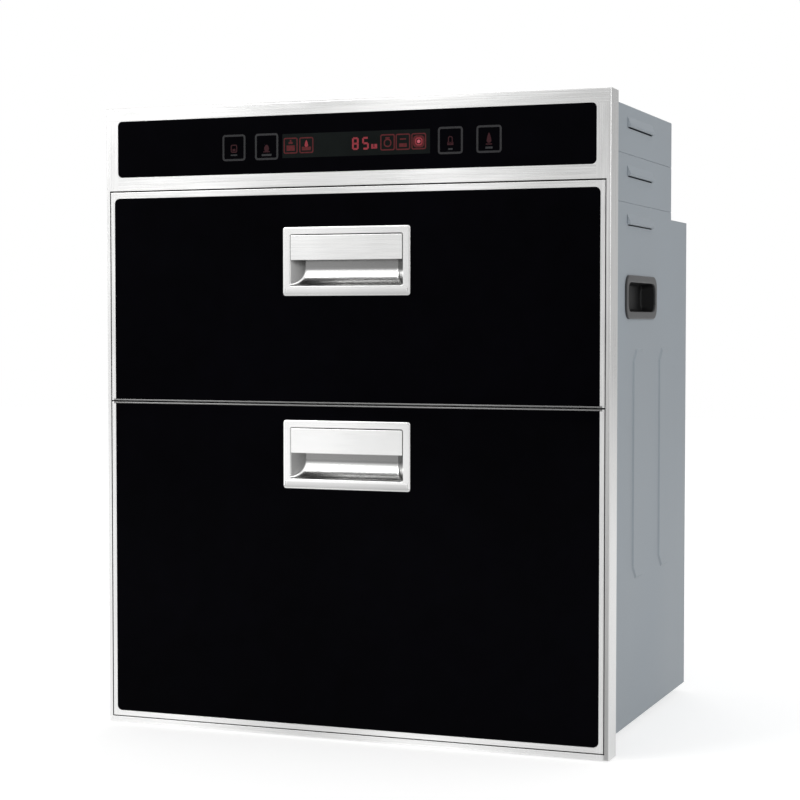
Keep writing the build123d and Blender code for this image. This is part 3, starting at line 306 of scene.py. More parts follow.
def noiseAt(tree, scale, detail=3.0):
    # noise on the piece's own coordinates, stretched by a scale for each axis
    coords = addNode(tree, "ShaderNodeTexCoord")
    mapping = addNode(tree, "ShaderNodeMapping")
    mapping.inputs["Scale"].default_value = scale
    texture = addNode(tree, "ShaderNodeTexNoise")
    texture.inputs["Scale"].default_value = 1.0
    texture.inputs["Detail"].default_value = detail
    tree.links.new(coords.outputs["Object"], mapping.inputs["Vector"])
    tree.links.new(mapping.outputs["Vector"], texture.inputs["Vector"])
    return texture.outputs["Fac"]


def ranged(tree, source, low, high, fromLow=0.3, fromHigh=0.7):
    node = addNode(tree, "ShaderNodeMapRange")
    for key, value in (("From Min", fromLow), ("From Max", fromHigh), ("To Min", low), ("To Max", high)):
        node.inputs[key].default_value = value
    tree.links.new(source, node.inputs["Value"])
    return node.outputs["Result"]


def mixed(tree, amount, first, second):
    # a mix of two colours, at sockets 6 and 7, or of two outputs that carry numbers, at 2 and 3
    colors = isinstance(first, tuple)
    node = addNode(tree, "ShaderNodeMix", data_type="RGBA" if colors else "FLOAT")
    if colors:
        node.inputs[6].default_value = (*first, 1)
        node.inputs[7].default_value = (*second, 1)
    else:
        tree.links.new(first, node.inputs[2])
        tree.links.new(second, node.inputs[3])
    tree.links.new(amount, node.inputs[0])
    return node.outputs[2 if colors else 0]


def scaled(tree, color, factor):
    node = addNode(tree, "ShaderNodeVectorMath", operation="SCALE")
    tree.links.new(color, node.inputs[0])
    tree.links.new(factor, node.inputs["Scale"])
    return node.outputs[0]


def axesOf(tree, output="Object"):
    coords = addNode(tree, "ShaderNodeTexCoord")
    parts = addNode(tree, "ShaderNodeSeparateXYZ")
    tree.links.new(coords.outputs[output], parts.inputs[0])
    return parts.outputs


def uprightParts(tree, look):
    # 1 on the stiles, whose grain stands upright, and 0 on the bands that run across
    axes = axesOf(tree)
    aside = addMath(tree, "GREATER_THAN", addMath(tree, "ABSOLUTE", axes["X"]), look["stileFrom"])
    below = addMath(tree, "LESS_THAN", axes["Z"], look["stileBelow"])
    return addMath(tree, "MULTIPLY", aside, below)


def paintedSheenBands(tree, period, peak, share):
    # painted reflection: broad light and dark bands along x that stand in for the sheen a brushed sheet
    # reflects
    turn = 2 * math.pi / period
    wave = addMath(tree, "COSINE", addMath(tree, "MULTIPLY_ADD", axesOf(tree)["X"], turn, -turn * peak))
    return addMath(tree, "MULTIPLY_ADD", wave, share, 1.0)


def paintedSeamShadow(tree, middle, near, far, inside, share):
    # painted shadow: darkens the thin borders on both sides of the gap between the drawers, where shade
    # falls into the gap
    axes = axesOf(tree)
    apart = addMath(tree, "ABSOLUTE", addMath(tree, "SUBTRACT", axes["Z"], middle))
    close = ranged(tree, apart, 1.0, 0.0, near, far)
    within = addMath(tree, "LESS_THAN", addMath(tree, "ABSOLUTE", axes["X"]), inside)
    return addMath(tree, "MULTIPLY_ADD", addMath(tree, "MULTIPLY", close, within), -share, 1.0)


def paintedPocketShade(tree, front, back, steep, flat, share):
    # painted shadow: darkens the upright walls of a pocket, as the shade behind the grip plate, and leaves
    # the scoop below them bright
    deep = ranged(tree, axesOf(tree)["Y"], 0.0, 1.0, front, back)
    tilt = addMath(tree, "ABSOLUTE", axesOf(tree, "Normal")["Z"])
    upright = ranged(tree, tilt, 1.0, 0.0, steep, flat)
    return addMath(tree, "MULTIPLY_ADD", addMath(tree, "MULTIPLY", deep, upright), -share, 1.0)


def paintedUndersideShade(tree, low, high, share):
    # painted shade: darker where a surface faces down
    below = ranged(tree, axesOf(tree, "Normal")["Z"], 1.0, 0.0, low, high)
    return addMath(tree, "MULTIPLY_ADD", below, -share, 1.0)


def paintedStileShade(tree, left, right, low, high, facing, share):
    # painted shade: the right stile's front darkens downwards, as its reflection does
    axes = axesOf(tree)
    aside = ranged(tree, axes["X"], 0.0, 1.0, left, right)
    lower = ranged(tree, axes["Z"], 1.0, 0.0, low, high)
    front = ranged(tree, axesOf(tree, "Normal")["Y"], 1.0, 0.0, *facing)
    stileShadow = addMath(tree, "MULTIPLY", addMath(tree, "MULTIPLY", aside, lower), front)
    return addMath(tree, "MULTIPLY_ADD", stileShadow, -share, 1.0)


# painted light and shade marks that a look may carry
shades = {"bands": paintedSheenBands, "seam": paintedSeamShadow, "pocket": paintedPocketShade, "underside": paintedUndersideShade,
          "stile": paintedStileShade}
# how far the noise swings round its middle for the full range of tone and roughness
spread = {"tone": 0.22, "rough": 0.25}


def makeFinish(name, look):
    # fine grain drives roughness and bump, broad patches drive tint and wear
    color = look["color"]
    material, shader = newMaterial(name, color, look.get("metallic", 0.0), look["rough"][0])
    tree = material.node_tree
    grain = noiseAt(tree, look["grain"], look.get("detail", 3.0))
    if "stileFrom" in look:
        upright = noiseAt(tree, look["grain"][::-1], look.get("detail", 3.0))
        grain = mixed(tree, uprightParts(tree, look), grain, upright)
    patches = noiseAt(tree, look.get("patches", (9, 9, 9)), 4.0)
    tint, streak = look.get("tint", 0.04), look.get("streak", 0.5)
    darker = tuple(c * (1 - tint) for c in color)
    lighter = tuple(min(1.0, c * (1 + tint)) for c in color)
    both = addMath(tree, "ADD", addMath(tree, "MULTIPLY", grain, streak), patches)
    middle = 0.5 + streak * 0.5
    amount = ranged(tree, both, 0.0, 1.0, middle - spread["tone"], middle + spread["tone"])
    tone = mixed(tree, amount, darker, lighter)
    # the look's painted sheen and shade scale its tone
    for key, shade in shades.items():
        if key in look:
            tone = scaled(tree, tone, shade(tree, **look[key]))
    tree.links.new(tone, shader.inputs["Base Color"])
    rough = ranged(tree, both, *look["rough"], middle - spread["rough"], middle + spread["rough"])
    tree.links.new(rough, shader.inputs["Roughness"])
    bump = addNode(tree, "ShaderNodeBump")
    bump.inputs["Strength"].default_value = look.get("bumpStrength", 0.3)
    bump.inputs["Distance"].default_value = look.get("bump", 0.00005)
    tree.links.new(grain, bump.inputs["Height"])
    tree.links.new(bump.outputs["Normal"], shader.inputs["Normal"])
    for key, value in look.get("sockets", {}).items():
        shader.inputs[key].default_value = value
    return material


looks = {
    "brushed_steel": dict(color=(0.775, 0.775, 0.77), metallic=1.0, rough=(0.25, 0.38), tint=0.07,
                          streak=1.2, grain=(14, 1500, 1500), patches=(4, 9, 5), bump=0.00002,
                          bumpStrength=0.25, stileFrom=0.283, stileBelow=0.6935,
                          # painted reflection bands across the frame
                          bands=dict(period=0.33, peak=0.12, share=0.14),
                          # painted shadow along the gap between the drawers
                          seam=dict(middle=0.3736, near=0.0022, far=0.0034, inside=0.2905, share=0.7),
                          # painted shade down the right stile's front
                          stile=dict(left=0.2915, right=0.2945, low=0.05, high=0.62, facing=(-0.9, -0.5),
                                     share=0.5)),
    "body_sheet": dict(color=(0.302, 0.339, 0.374), rough=(0.42, 0.54), tint=0.05, streak=0.3,
                       grain=(900, 900, 900), patches=(6, 6, 4), bump=0.00006, bumpStrength=0.22,
                       sockets={"Specular IOR Level": 0.35}),
    "galvanised": dict(color=(0.52, 0.54, 0.55), metallic=0.9, rough=(0.34, 0.55), tint=0.14, streak=0.7,
                       grain=(160, 160, 160), patches=(60, 60, 60), bump=0.00003),
    "black_glass": dict(color=(0.0012, 0.0011, 0.0020), rough=(0.03, 0.06), tint=0.25, grain=(40, 40, 40),
                        patches=(5, 5, 5), bump=0.000004, bumpStrength=0.05,
                        sockets={"Specular IOR Level": 0.012}),
    "chamber_steel": dict(color=(0.74, 0.74, 0.735), metallic=1.0, rough=(0.32, 0.42), tint=0.025,
                          streak=0.4, grain=(900, 20, 900), patches=(6, 6, 6), bump=0.00001,
                          bumpStrength=0.15),
    "handle_metal": dict(color=(0.89, 0.89, 0.885), metallic=1.0, rough=(0.16, 0.26), tint=0.03,
                         streak=1.0, grain=(30, 1800, 1800), patches=(12, 12, 12), bump=0.00001,
                         # painted highlight bands across the handle
                         bumpStrength=0.2, bands=dict(period=0.30, peak=-0.06, share=0.08),
                         # painted shadow on the upright walls of the handle's pocket
                         pocket=dict(front=-0.2184, back=-0.2165, steep=0.08, flat=0.24, share=0.70),
                         # painted shade on the faces that look down
                         underside=dict(low=-0.16, high=-0.05, share=0.42)),
    "chrome_wire": dict(color=(0.72, 0.72, 0.72), metallic=1.0, rough=(0.08, 0.2), tint=0.05,
                        grain=(300, 300, 300), patches=(25, 25, 25), bump=0.00001, bumpStrength=0.15),
    "slide_steel": dict(color=(0.50, 0.51, 0.52), metallic=1.0, rough=(0.26, 0.42), tint=0.08,
                        grain=(400, 30, 400), patches=(40, 12, 40), bump=0.00002),
    "black_plastic": dict(color=(0.006, 0.006, 0.0065), rough=(0.42, 0.56), tint=0.15,
                          grain=(1400, 1400, 1400), bump=0.00004, sockets={"Specular IOR Level": 0.22}),
    "grey_plastic": dict(color=(0.045, 0.046, 0.048), rough=(0.36, 0.5), tint=0.12,
                         grain=(1200, 1200, 1200), bump=0.00004, sockets={"Specular IOR Level": 0.35}),
    "white_plastic": dict(color=(0.66, 0.65, 0.62), rough=(0.4, 0.52), tint=0.04, grain=(900, 900, 900)),
    "seal_rubber": dict(color=(0.022, 0.022, 0.022), rough=(0.6, 0.78), tint=0.2, grain=(700, 700, 700),
                        bump=0.00008),
    "foot_rubber": dict(color=(0.018, 0.018, 0.018), rough=(0.62, 0.8), tint=0.25, grain=(600, 600, 600),
                        bump=0.0001),
    "quartz": dict(color=(0.93, 0.95, 0.97), rough=(0.06, 0.16), tint=0.02, grain=(60, 400, 400),
                   bump=0.00002, sockets={"Transmission Weight": 0.9, "IOR": 1.46}),
    "ceramic": dict(color=(0.72, 0.70, 0.64), rough=(0.6, 0.75), tint=0.06, grain=(1500, 1500, 1500),
                    bump=0.00006),
    "board": dict(color=(0.02, 0.12, 0.05), rough=(0.24, 0.36), tint=0.2, grain=(500, 500, 500)),
    "motor_iron": dict(color=(0.16, 0.16, 0.17), metallic=0.8, rough=(0.38, 0.55), tint=0.15,
                       grain=(8, 8, 1800), bump=0.0001, bumpStrength=0.5),
    "screw_steel": dict(color=(0.5, 0.51, 0.52), metallic=1.0, rough=(0.22, 0.38), tint=0.06,
                        grain=(900, 900, 900)),
    "heater_wire": dict(color=(0.30, 0.25, 0.21), metallic=1.0, rough=(0.4, 0.6), tint=0.2,
                        grain=(700, 700, 700)),
    "key_print": dict(color=(0.040, 0.040, 0.042), rough=(0.4, 0.55), tint=0.15, grain=(1500, 1500, 1500),
                      sockets={"Specular IOR Level": 0.06}),
    "display_window": dict(color=(0.0058, 0.0078, 0.0074), rough=(0.12, 0.22), tint=0.25,
                           grain=(60, 60, 60), sockets={"Specular IOR Level": 0.05}),
}
finishes = {name: makeFinish(name, look) for name, look in looks.items()}

# the CAD nodes take the finish of their slot
for node, piece in frame["nodes"].items():
    piece.data.materials.clear()
    piece.data.materials.append(finishes[nodeSlot[node]])

glow = {"base": 0.02, "rough": 0.35, "specular": 0.05, "grain": (500, 500, 500), "low": 0.75, "high": 1.15}
redLights = {"red_bright": ((1.0, 0.22, 0.28), 0.48), "red_segments": ((1.0, 0.15, 0.19), 0.24),
             "red_faint": ((1.0, 0.20, 0.22), 0.075), "red_dim": ((1.0, 0.35, 0.42), 0.020)}


def makeLight(name, color, strength):
    # a lit print, a little uneven as its lamp leaves it
    material, shader = newMaterial(name, tuple(c * glow["base"] for c in color), 0.0, glow["rough"])
    shader.inputs["Emission Color"].default_value = (*color, 1)
    shader.inputs["Specular IOR Level"].default_value = glow["specular"]
    tree = material.node_tree
    strengths = ranged(tree, noiseAt(tree, glow["grain"]), strength * glow["low"], strength * glow["high"])
    tree.links.new(strengths, shader.inputs["Emission Strength"])
    return material


for name, light in redLights.items():
    finishes[name] = makeLight(name, *light)


# CAD pieces whose edges get their real folds and radii
print("dressed sheet metal")

louvre = {"rise": 4.0, "hoodFrom": 1.0, "lipKeep": 0.5, "lipHeight": 0.5, "ridge": 2.4, "ridgeSteps": 5,
          "near": 0.1}


def dressedCopy(node):
    pick(frame["nodes"][node])
    bpy.ops.object.duplicate()
    piece = bpy.context.object
    piece.parent = None
    for key in list(piece.keys()):
        del piece[key]
    piece.name = node + "_shown"
    edit(piece)
    bpy.ops.mesh.remove_doubles(threshold=1e-6)
    bpy.ops.mesh.dissolve_limited(angle_limit=math.radians(0.5))
    leave()
    return piece


def rollLouvres(piece):
    # turns each louvre's sharp hood into a rolled one with a narrow slot below it
    verts = piece.data.vertices
    near = louvre["near"] * mm
    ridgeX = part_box("side_panel_right")[1].x
    sheetX = ridgeX - louvre["rise"] * mm
    lowest = min(vert.co.z for vert in verts if abs(vert.co.x) > ridgeX - near)
    lip = (lowest - near, lowest + louvre["lipHeight"] * mm)
    for vert in verts:
        out = abs(vert.co.x) - sheetX
        if out > louvre["hoodFrom"] * mm and lip[0] < vert.co.z < lip[1]:
            vert.co.x = math.copysign(sheetX + out * louvre["lipKeep"], vert.co.x)
    choose(piece, "EDGE", lambda e: all(abs(verts[i].co.x) > ridgeX - near for i in e.vertices))
    bpy.ops.mesh.bevel(offset=louvre["ridge"] * mm, segments=louvre["ridgeSteps"], affect="EDGES",
                       clamp_overlap=True)
    leave()


def dress(node, width, angle=30, segments=2, louvred=False):
    piece = dressedCopy(node)
    if louvred:
        rollLouvres(piece)
    roundEdges(piece, width * mm, segments, angle)
    return place(piece, nodeBody[node], nodeSlot[node], (node,), angle=angle + 5)


# widths of the folds and radii in mm
plainDress = {
    "front_frame": 0.35, "rear_cover": 0.25, "control_glass": 0.4, "face_plate": 0.3, "base_pan": 0.25,
    "bay_deck": 0.25, "fan_guard": 0.3, "tube_holders": 1.0, "control_carrier": 0.4,
    "heater_reflector": 0.2, "thermostat": 0.3, "reed_switches": 0.6, "upper_chamber": 0.3,
    "lower_chamber": 0.3, "fan_motor": 0.6, "display_board": 0.2, "power_board": 0.4, "transformer": 0.5,
}
louvredDress = {"side_panel_right": 0.19, "side_panel_left": 0.19, "top_cover": 0.19, "bay_cover": 0.19}
drawerDress = {
    "front_pan": 0.2, "glass": 0.4, "liner": 0.3, "seal": 0.9, "rack_carrier": 0.25, "drip_tray": 0.25,
    "slide_outer": 0.35, "slide_mid": 0.35, "slide_inner": 0.35, "magnet": 0.4,
}
for node, width in plainDress.items():
    dress(node, width)
for name in drawers:
    for node, width in drawerDress.items():
        dress(f"{name}_{node}", width)
for node, width in louvredDress.items():
    dress(node, width, angle=20, segments=3, louvred=True)


# recessed handles: a casting with a scoop, and a grip plate across its pocket
print("handles")

handle = {
    "rim": 8.5, "rimBottom": 11.0, "cornerRadius": 3.0, "edgeRound": 1.5, "lip": 0.7,
    "lap": 3.5, "wall": 1.6, "slant": 12.0, "scoopRise": 21.0, "scoopSteps": 14,
    "plateHeight": 28.5, "plateGap": 0.9, "plateThickness": 2.2, "plateSetBack": 0.25, "plateRound": 0.7,
    "bottomBevel": 7.2, "bottomDrop": 1.1, "bottomReach": 2.55, "faceInset": 2.4,
    "roundSteps": 4, "lipSteps": 3,
}


def handleRings(low, high):
    # from the casting's back, round its rim and down the scoop to the pocket's end
    front, back, outX, outZ = low.y, high.y, high.x, (low.z, high.z)
    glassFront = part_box("control_glass")[0].y
    lap, edge, lip = handle["lap"] * mm, handle["edgeRound"] * mm, handle["lip"] * mm
    mouthX = outX - handle["rim"] * mm
    mouthZ = (low.z + handle["rimBottom"] * mm, high.z - handle["rim"] * mm)
    rings = [ringAt(outX, outZ, back, -lap), ringAt(outX, outZ, glassFront, -lap),
             ringAt(outX, outZ, glassFront), ringAt(outX, outZ, front + edge)]
    for sine, rest in quarter(handle["roundSteps"]):
        rings.append(ringAt(outX, outZ, front + edge * (1 - sine), -edge * rest))
    inset = handle["faceInset"] * mm
    faceZ = (outZ[0] + handle["bottomBevel"] * mm, outZ[1] - inset)
    rings.append({"x": outX - inset, "z": faceZ, "y": front})
    rings.append(ringAt(mouthX, mouthZ, front, lip))
    for sine, rest in quarter(handle["lipSteps"]):
        rings.append(ringAt(mouthX, mouthZ, front + lip * rest, lip * (1 - sine)))
    cavityBack = back - handle["wall"] * mm
    start = rings[-1]["y"]
    for deep, rest in quarter(handle["scoopSteps"]):
        rings.append({"y": start + (cavityBack - start) * deep, "x": mouthX - handle["slant"] * mm * deep,
                      "z": (mouthZ[0] + handle["scoopRise"] * mm * rest, mouthZ[1])})
    return rings, mouthX, mouthZ


for name in drawers:
    low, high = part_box(f"{name}_handle_bezel")
    rings, mouthX, mouthZ = handleRings(low, high)
    bezel = ringLoft(f"{name}_handle_casting", rings, handle["cornerRadius"] * mm)
    # the rim's lower border is bevelled back towards the glass
    dropY = low.y + handle["bottomDrop"] * mm
    dropZ = low.z + handle["bottomReach"] * mm
    for vert in bezel.data.vertices:
        if vert.co.z < dropZ and vert.co.y < dropY:
            vert.co.y = dropY
    place(bezel, f"{name}_drawer", "handle_metal", (f"{name}_handle_bezel",), angle=32)

    gap = handle["plateGap"] * mm
    plateFront = low.y + handle["plateSetBack"] * mm
    plateLow = mouthZ[1] - handle["plateHeight"] * mm
    plate = addBlock(f"{name}_grip_plate", (-mouthX + gap, plateFront, plateLow),
                     (mouthX - gap, plateFront + handle["plateThickness"] * mm, mouthZ[1] - gap))
    roundEdges(plate, handle["plateRound"] * mm, 4)
    place(plate, f"{name}_drawer", "handle_metal", (f"{name}_handle_plate",))


# touch keys, display and its lights, printed on the control glass
print("control panel")

panel = {
    "row": -2.2, "keyMiddles": (-136.0, -95.8, 121.2, 164.9), "keyWidth": 28.4, "keyHeight": 29.3,
    "keyLine": 2.2, "keyRadius": 3.4, "printHeight": 0.06, "printShare": 0.9, "windowHeight": 0.02,
    "windowLeft": -76.5, "windowRight": 98.0, "windowTall": 26.5,
    "boxMiddles": (-66.5, -47.5, 48.8, 66.7, 85.0), "boxWidth": 17.0, "boxHeight": 17.6,
    "boxLine": 1.4, "boxRadius": 2.2, "boxLift": 0.2,
    "digitMiddles": (11.0, 23.0), "digitWidth": 7.8, "digitHeight": 13.8, "digitLine": 2.1,
    "flatTrim": 1.3, "uprightTrim": 0.6, "unitMiddle": 33.6, "dropSides": 16, "dropPinch": 0.9,
}
# each mark's height over the row, its width and height, then a frame's corner radius and line;
# the marks of the unit start with their place beside its middle
signs = {
    "keyBars": ((-8.2, 8, 1.6), (-9.2, 12, 2.2), (-9.4, 5, 1.8), (-9.2, 8, 2.2)),
    "cup": (-1, 8, 9, 2, 1.2), "cupFoot": (-2.5, 3.6, 2.4), "flame": (-2.3, 6, 7.6),
    "flameFoot": (-5.6, 8, 1.2), "lamp": (0.5, 5.4, 8, 2.2, 1.1), "lampFoot": (-3.5, 7, 3.2),
    "drop": (-1.5, 5.4, 11), "dropFoot": (-5.4, 7, 1.2),
    "bowl": (-2.5, 10, 6), "bowlLid": (3.2, 5, 2.2), "bowlKnob": (5.6, 2, 2), "burner": (-3.5, 11, 4),
    "clock": (-0.5, 9, 9, 4, 1.4), "clockBell": (5, 5, 1.6), "tray": (-3.4, 9, 4), "trayLid": (3.2, 7, 1.5),
    "ring": (0, 13, 13, 4, 2.2), "innerRing": (0, 8.6, 8.6, 3, 1.6), "smallFlame": (0.3, 4.2, 7.6),
    "spot": (0, 4.0, 4.0), "unit": ((-2.6, -3.6, 2.6, 5), (1.4, -3.6, 3.2, 5), (-0.4, -5.2, 7, 1.6)),
}
glassLow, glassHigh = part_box("control_glass")
row = (glassLow.z + glassHigh.z) / 2 + panel["row"] * mm
printFront = glassLow.y - panel["printHeight"] * mm
printDepth = panel["printHeight"] * panel["printShare"] * mm


def thicken():
    # gives the flat print that is selected its small thickness
    selectAll()
    pushFaces(y=printDepth)
    leave()


def outline(x, z, width, height, radius, line):
    # a printed rounded frame
    bpy.ops.mesh.primitive_plane_add(size=2, location=(x * mm, printFront, row + z * mm),
                                     rotation=(math.pi / 2, 0, 0))
    bpy.context.object.scale = (width / 2 * mm, height / 2 * mm, 1)
    piece = started("outline")
    edit(piece)
    bpy.ops.mesh.bevel(offset=radius * mm, segments=4, affect="VERTICES")
    selectAll()
    bpy.ops.mesh.inset(thickness=line * mm)
    bpy.ops.mesh.delete(type="FACE")
    thicken()
    turnOut(piece)
    return piece


def bar(x, z, width, height):
    return addBlock("bar", ((x - width / 2) * mm, printFront, row + (z - height / 2) * mm),
                    ((x + width / 2) * mm, printFront + printDepth, row + (z + height / 2) * mm))


def drop(x, z, width, height):
    # a round disc whose upper verts are drawn up to a point where it is taller than wide
    bpy.ops.mesh.primitive_circle_add(vertices=panel["dropSides"], radius=width / 2 * mm, fill_type="NGON",
                                      location=(x * mm, printFront, row + z * mm),
                                      rotation=(math.pi / 2, 0, 0))
    piece = started("drop")
    for vert in piece.data.vertices:
        up = ((vert.co.z - row) / mm - z) / (width / 2)
        if up > 0:
            vert.co.z += up * (height - width) * mm
            vert.co.x += (x * mm - vert.co.x) * panel["dropPinch"] * up * (1 - width / height)
    edit(piece)
    thicken()
    turnOut(piece)
    return piece


def printed(name, pieces, finish):
    return place(joined(name, pieces), "cabinet", "black_glass", finish=finish)


keyLeft, keyMid, keyRight, keyLast = panel["keyMiddles"]
keys = [outline(x, 0, panel["keyWidth"], panel["keyHeight"], panel["keyRadius"], panel["keyLine"])
        for x in panel["keyMiddles"]]
keys += [bar(x, *mark) for x, mark in zip(panel["keyMiddles"], signs["keyBars"])]
printed("touch_keys", keys, "key_print")
windowMiddle = (panel["windowLeft"] + panel["windowRight"]) / 2
window = bar(windowMiddle, 0, panel["windowRight"] - panel["windowLeft"], panel["windowTall"])
window.location.y = (panel["printHeight"] - panel["windowHeight"]) * mm
applyPlace(window)
printed("display_window", [window], "display_window")

keySigns = [outline(keyLeft, *signs["cup"]), bar(keyLeft, *signs["cupFoot"]),
            drop(keyMid, *signs["flame"]), bar(keyMid, *signs["flameFoot"]),
            outline(keyRight, *signs["lamp"]), bar(keyRight, *signs["lampFoot"]),
            drop(keyLast, *signs["drop"]), bar(keyLast, *signs["dropFoot"])]
printed("key_signs", keySigns, "red_dim")

segmentBars = {"a": (0, 1, True), "b": (1, 0.5, False), "c": (1, -0.5, False), "d": (0, -1, True),
               "e": (-1, -0.5, False), "f": (-1, 0.5, False), "g": (0, 0, True)}


def digit(lit, x):
    # bars for the lit segments, trimmed where two of them meet
    width, height, line = panel["digitWidth"], panel["digitHeight"], panel["digitLine"]
    flatSize = (width - panel["flatTrim"] * line, line)
    uprightSize = (line, height / 2 - panel["uprightTrim"] * line)
    bars = []
    for sideways, up, flat in (segmentBars[key] for key in lit):
        size = flatSize if flat else uprightSize
        bars.append(bar(x + sideways * (width - line) / 2, up * (height - line) / 2, *size))
    return bars


digits = digit("abcdefg", panel["digitMiddles"][0]) + digit("acdfg", panel["digitMiddles"][1])
digits += [bar(panel["unitMiddle"] + aside, *mark) for aside, *mark in signs["unit"]]
printed("display_digits", digits, "red_segments")

first, second, third, fourth, last = panel["boxMiddles"]
boxes = [outline(x, panel["boxLift"], panel["boxWidth"], panel["boxHeight"], panel["boxRadius"],
                 panel["boxLine"]) for x in panel["boxMiddles"]]
boxes += [bar(first, *signs[key]) for key in ("bowl", "bowlLid", "bowlKnob")]
boxes += [bar(second, *signs["burner"]), outline(third, *signs["clock"]), bar(third, *signs["clockBell"])]
boxes += [bar(fourth, *signs["tray"]), bar(fourth, *signs["trayLid"]), outline(last, *signs["ring"])]
printed("display_icons", boxes, "red_faint")
flames = [drop(second, *signs["smallFlame"]), outline(last, *signs["innerRing"])]
printed("display_flames", flames, "red_segments")
printed("display_spot", [drop(last, *signs["spot"])], "red_bright")


# carrying grips in the sides of the body
print("side grips")

grip = {"rim": 8.0, "rise": 2.5, "round": 1.2, "corner": 14.0, "wall": 2.0, "draft": 1.5, "cup": 17.0,
        "tuck": 0.3, "roundSteps": 4, "cornerSteps": 7}
gripLow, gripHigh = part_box("side_grips")
gripHalf, gripZ = (gripHigh.y - gripLow.y) / 2, (gripLow.z, gripHigh.z)
gripSheetX = gripHigh.x - grip["rise"] * mm


def turnedToSide(piece):
    # it is drawn facing the front, with the panel's face at y = 0
    piece.rotation_euler.z = math.pi / 2
    piece.location = (gripSheetX, (gripLow.y + gripHigh.y) / 2, 0)
    applyPlace(piece)
    return piece


rise, edge, width = grip["rise"] * mm, grip["round"] * mm, grip["rim"] * mm
rings = [ringAt(gripHalf, gripZ, 0), ringAt(gripHalf, gripZ, edge - rise)]
turns = quarter(grip["roundSteps"])
rings += [ringAt(gripHalf, gripZ, edge * (1 - sine) - rise, -edge * rest) for sine, rest in turns]
rings.append(ringAt(gripHalf, gripZ, -rise, edge - width))
rings += [ringAt(gripHalf, gripZ, edge * rest - rise, edge * (1 - sine) - width) for sine, rest in turns]
rings.append(ringAt(gripHalf, gripZ, 0, -width))
rim = ringLoft("grip_rim", rings, grip["corner"] * mm, grip["cornerSteps"])
choose(rim, "FACE", lambda f: len(f.vertices) > 4)
bridgeRims(rim)
place(bothSides("grip_rims", turnedToSide(rim)), "cabinet", "grey_plastic", ("side_grips",))

wall, draft, cupBack = grip["wall"] * mm, grip["draft"] * mm, grip["cup"] * mm
tuck = -grip["tuck"] * mm
cupPlaces = [(cupBack, wall - width - draft), (tuck, wall - width), (tuck, -width),
             (cupBack - 2 * wall, -width - draft), (cupBack - wall, -width - draft - wall)]
cup = ringLoft("grip_cup", [ringAt(gripHalf, gripZ, y, grow) for y, grow in cupPlaces],
               (grip["corner"] - grip["rim"] + grip["wall"]) * mm, grip["cornerSteps"])
place(bothSides("grip_cups", turnedToSide(cup)), "cabinet", "black_plastic", ("side_grips",))


# wire racks: a rim, hoops across, wires along and two rows of prongs
print("racks")

rack = {"rim": 5.0, "rimSides": 12, "rimCorner": 22.0, "grid": 3.6, "bend": 14.0, "weld": 0.4,
        "hoops": 9, "longs": 7, "ends": 34.0,
        "rowShare": 0.7, "rowMargin": 12.0, "rowWidth": 236.0, "prongBend": 11.0,
        "prongs": {"upper": 13, "lower": 11}, "prongRise": {"upper": 52.0, "lower": 96.0}}


def wireCopies(points, places, along, diameter, bend):
    # one bent wire, and copies of it at further places along a direction
    first = bentWire("wire", points, diameter, bend)
    return [first] + [copyOf(first, Vector(along) * (at - places[0])) for at in places[1:]]


for name in drawers:
    low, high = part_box(f"{name}_rack")
    rimWire, gridWire = rack["rim"] * mm, rack["grid"] * mm
    bend = rack["bend"] * mm
    x, y = high.x - rimWire / 2, (low.y + rimWire / 2, high.y - rimWire / 2)
    zRim, zLow = high.z - rimWire / 2, low.z + gridWire / 2
    zLong = zLow + gridWire - rack["weld"] * mm
    inset = rimWire / 2 + gridWire / 2 - rack["weld"] * mm
    corners = [(-x, y[0], zRim), (x, y[0], zRim), (x, y[1], zRim), (-x, y[1], zRim)]
    wires = [bentWire("rim", corners, rimWire, rack["rimCorner"] * mm, closed=True, sides=rack["rimSides"])]
    hoopY = spaced(y[0] + rack["ends"] * mm, y[1] - rack["ends"] * mm, rack["hoops"])
    xIn, yIn = x - inset, (y[0] + inset, y[1] - inset)
    hoop = [(-xIn, hoopY[0], zRim), (-xIn, hoopY[0], zLow), (xIn, hoopY[0], zLow), (xIn, hoopY[0], zRim)]
    wires += wireCopies(hoop, hoopY, (0, 1, 0), gridWire, bend)
    halfRow = x * rack["rowShare"]
    rowX = halfRow + rack["rowMargin"] * mm
    longX = spaced(-rowX, rowX, rack["longs"])
    long = [(-rowX, yIn[0], zRim), (-rowX, yIn[0], zLong), (-rowX, yIn[1], zLong), (-rowX, yIn[1], zRim)]
    wires += wireCopies(long, longX, (1, 0, 0), gridWire, bend)
    middle, half = sum(y) / 2, rack["rowWidth"] / 2 * mm
    top = zLow + rack["prongRise"][name] * mm
    prongX = spaced(-halfRow, halfRow, rack["prongs"][name])
    prong = [(-halfRow, middle - half, zLong), (-halfRow, middle - half, top),
             (-halfRow, middle + half, top), (-halfRow, middle + half, zLong)]
    wires += wireCopies(prong, prongX, (1, 0, 0), gridWire, rack["prongBend"] * mm)
    footWire = [(-rowX, middle - half, zLong), (0, middle - half, zLong), (rowX, middle - half, zLong)]
    wires += wireCopies(footWire, [middle - half, middle + half], (0, 1, 0), gridWire, bend)
    place(joined(f"{name}_wire_rack", wires), f"{name}_drawer", "chrome_wire", (f"{name}_rack",), angle=50)


# ball retainers of the telescopic slides
print("ball retainers")

cage = {"sheet": 0.6, "ball": 1.5, "rowDepth": {"outer": 4.85, "inner": 4.25}, "balls": 10,
        "rowHeight": {"outer": 19.7, "inner": 15.3}, "endSpace": 8.0, "round": 0.2, "near": 0.01}


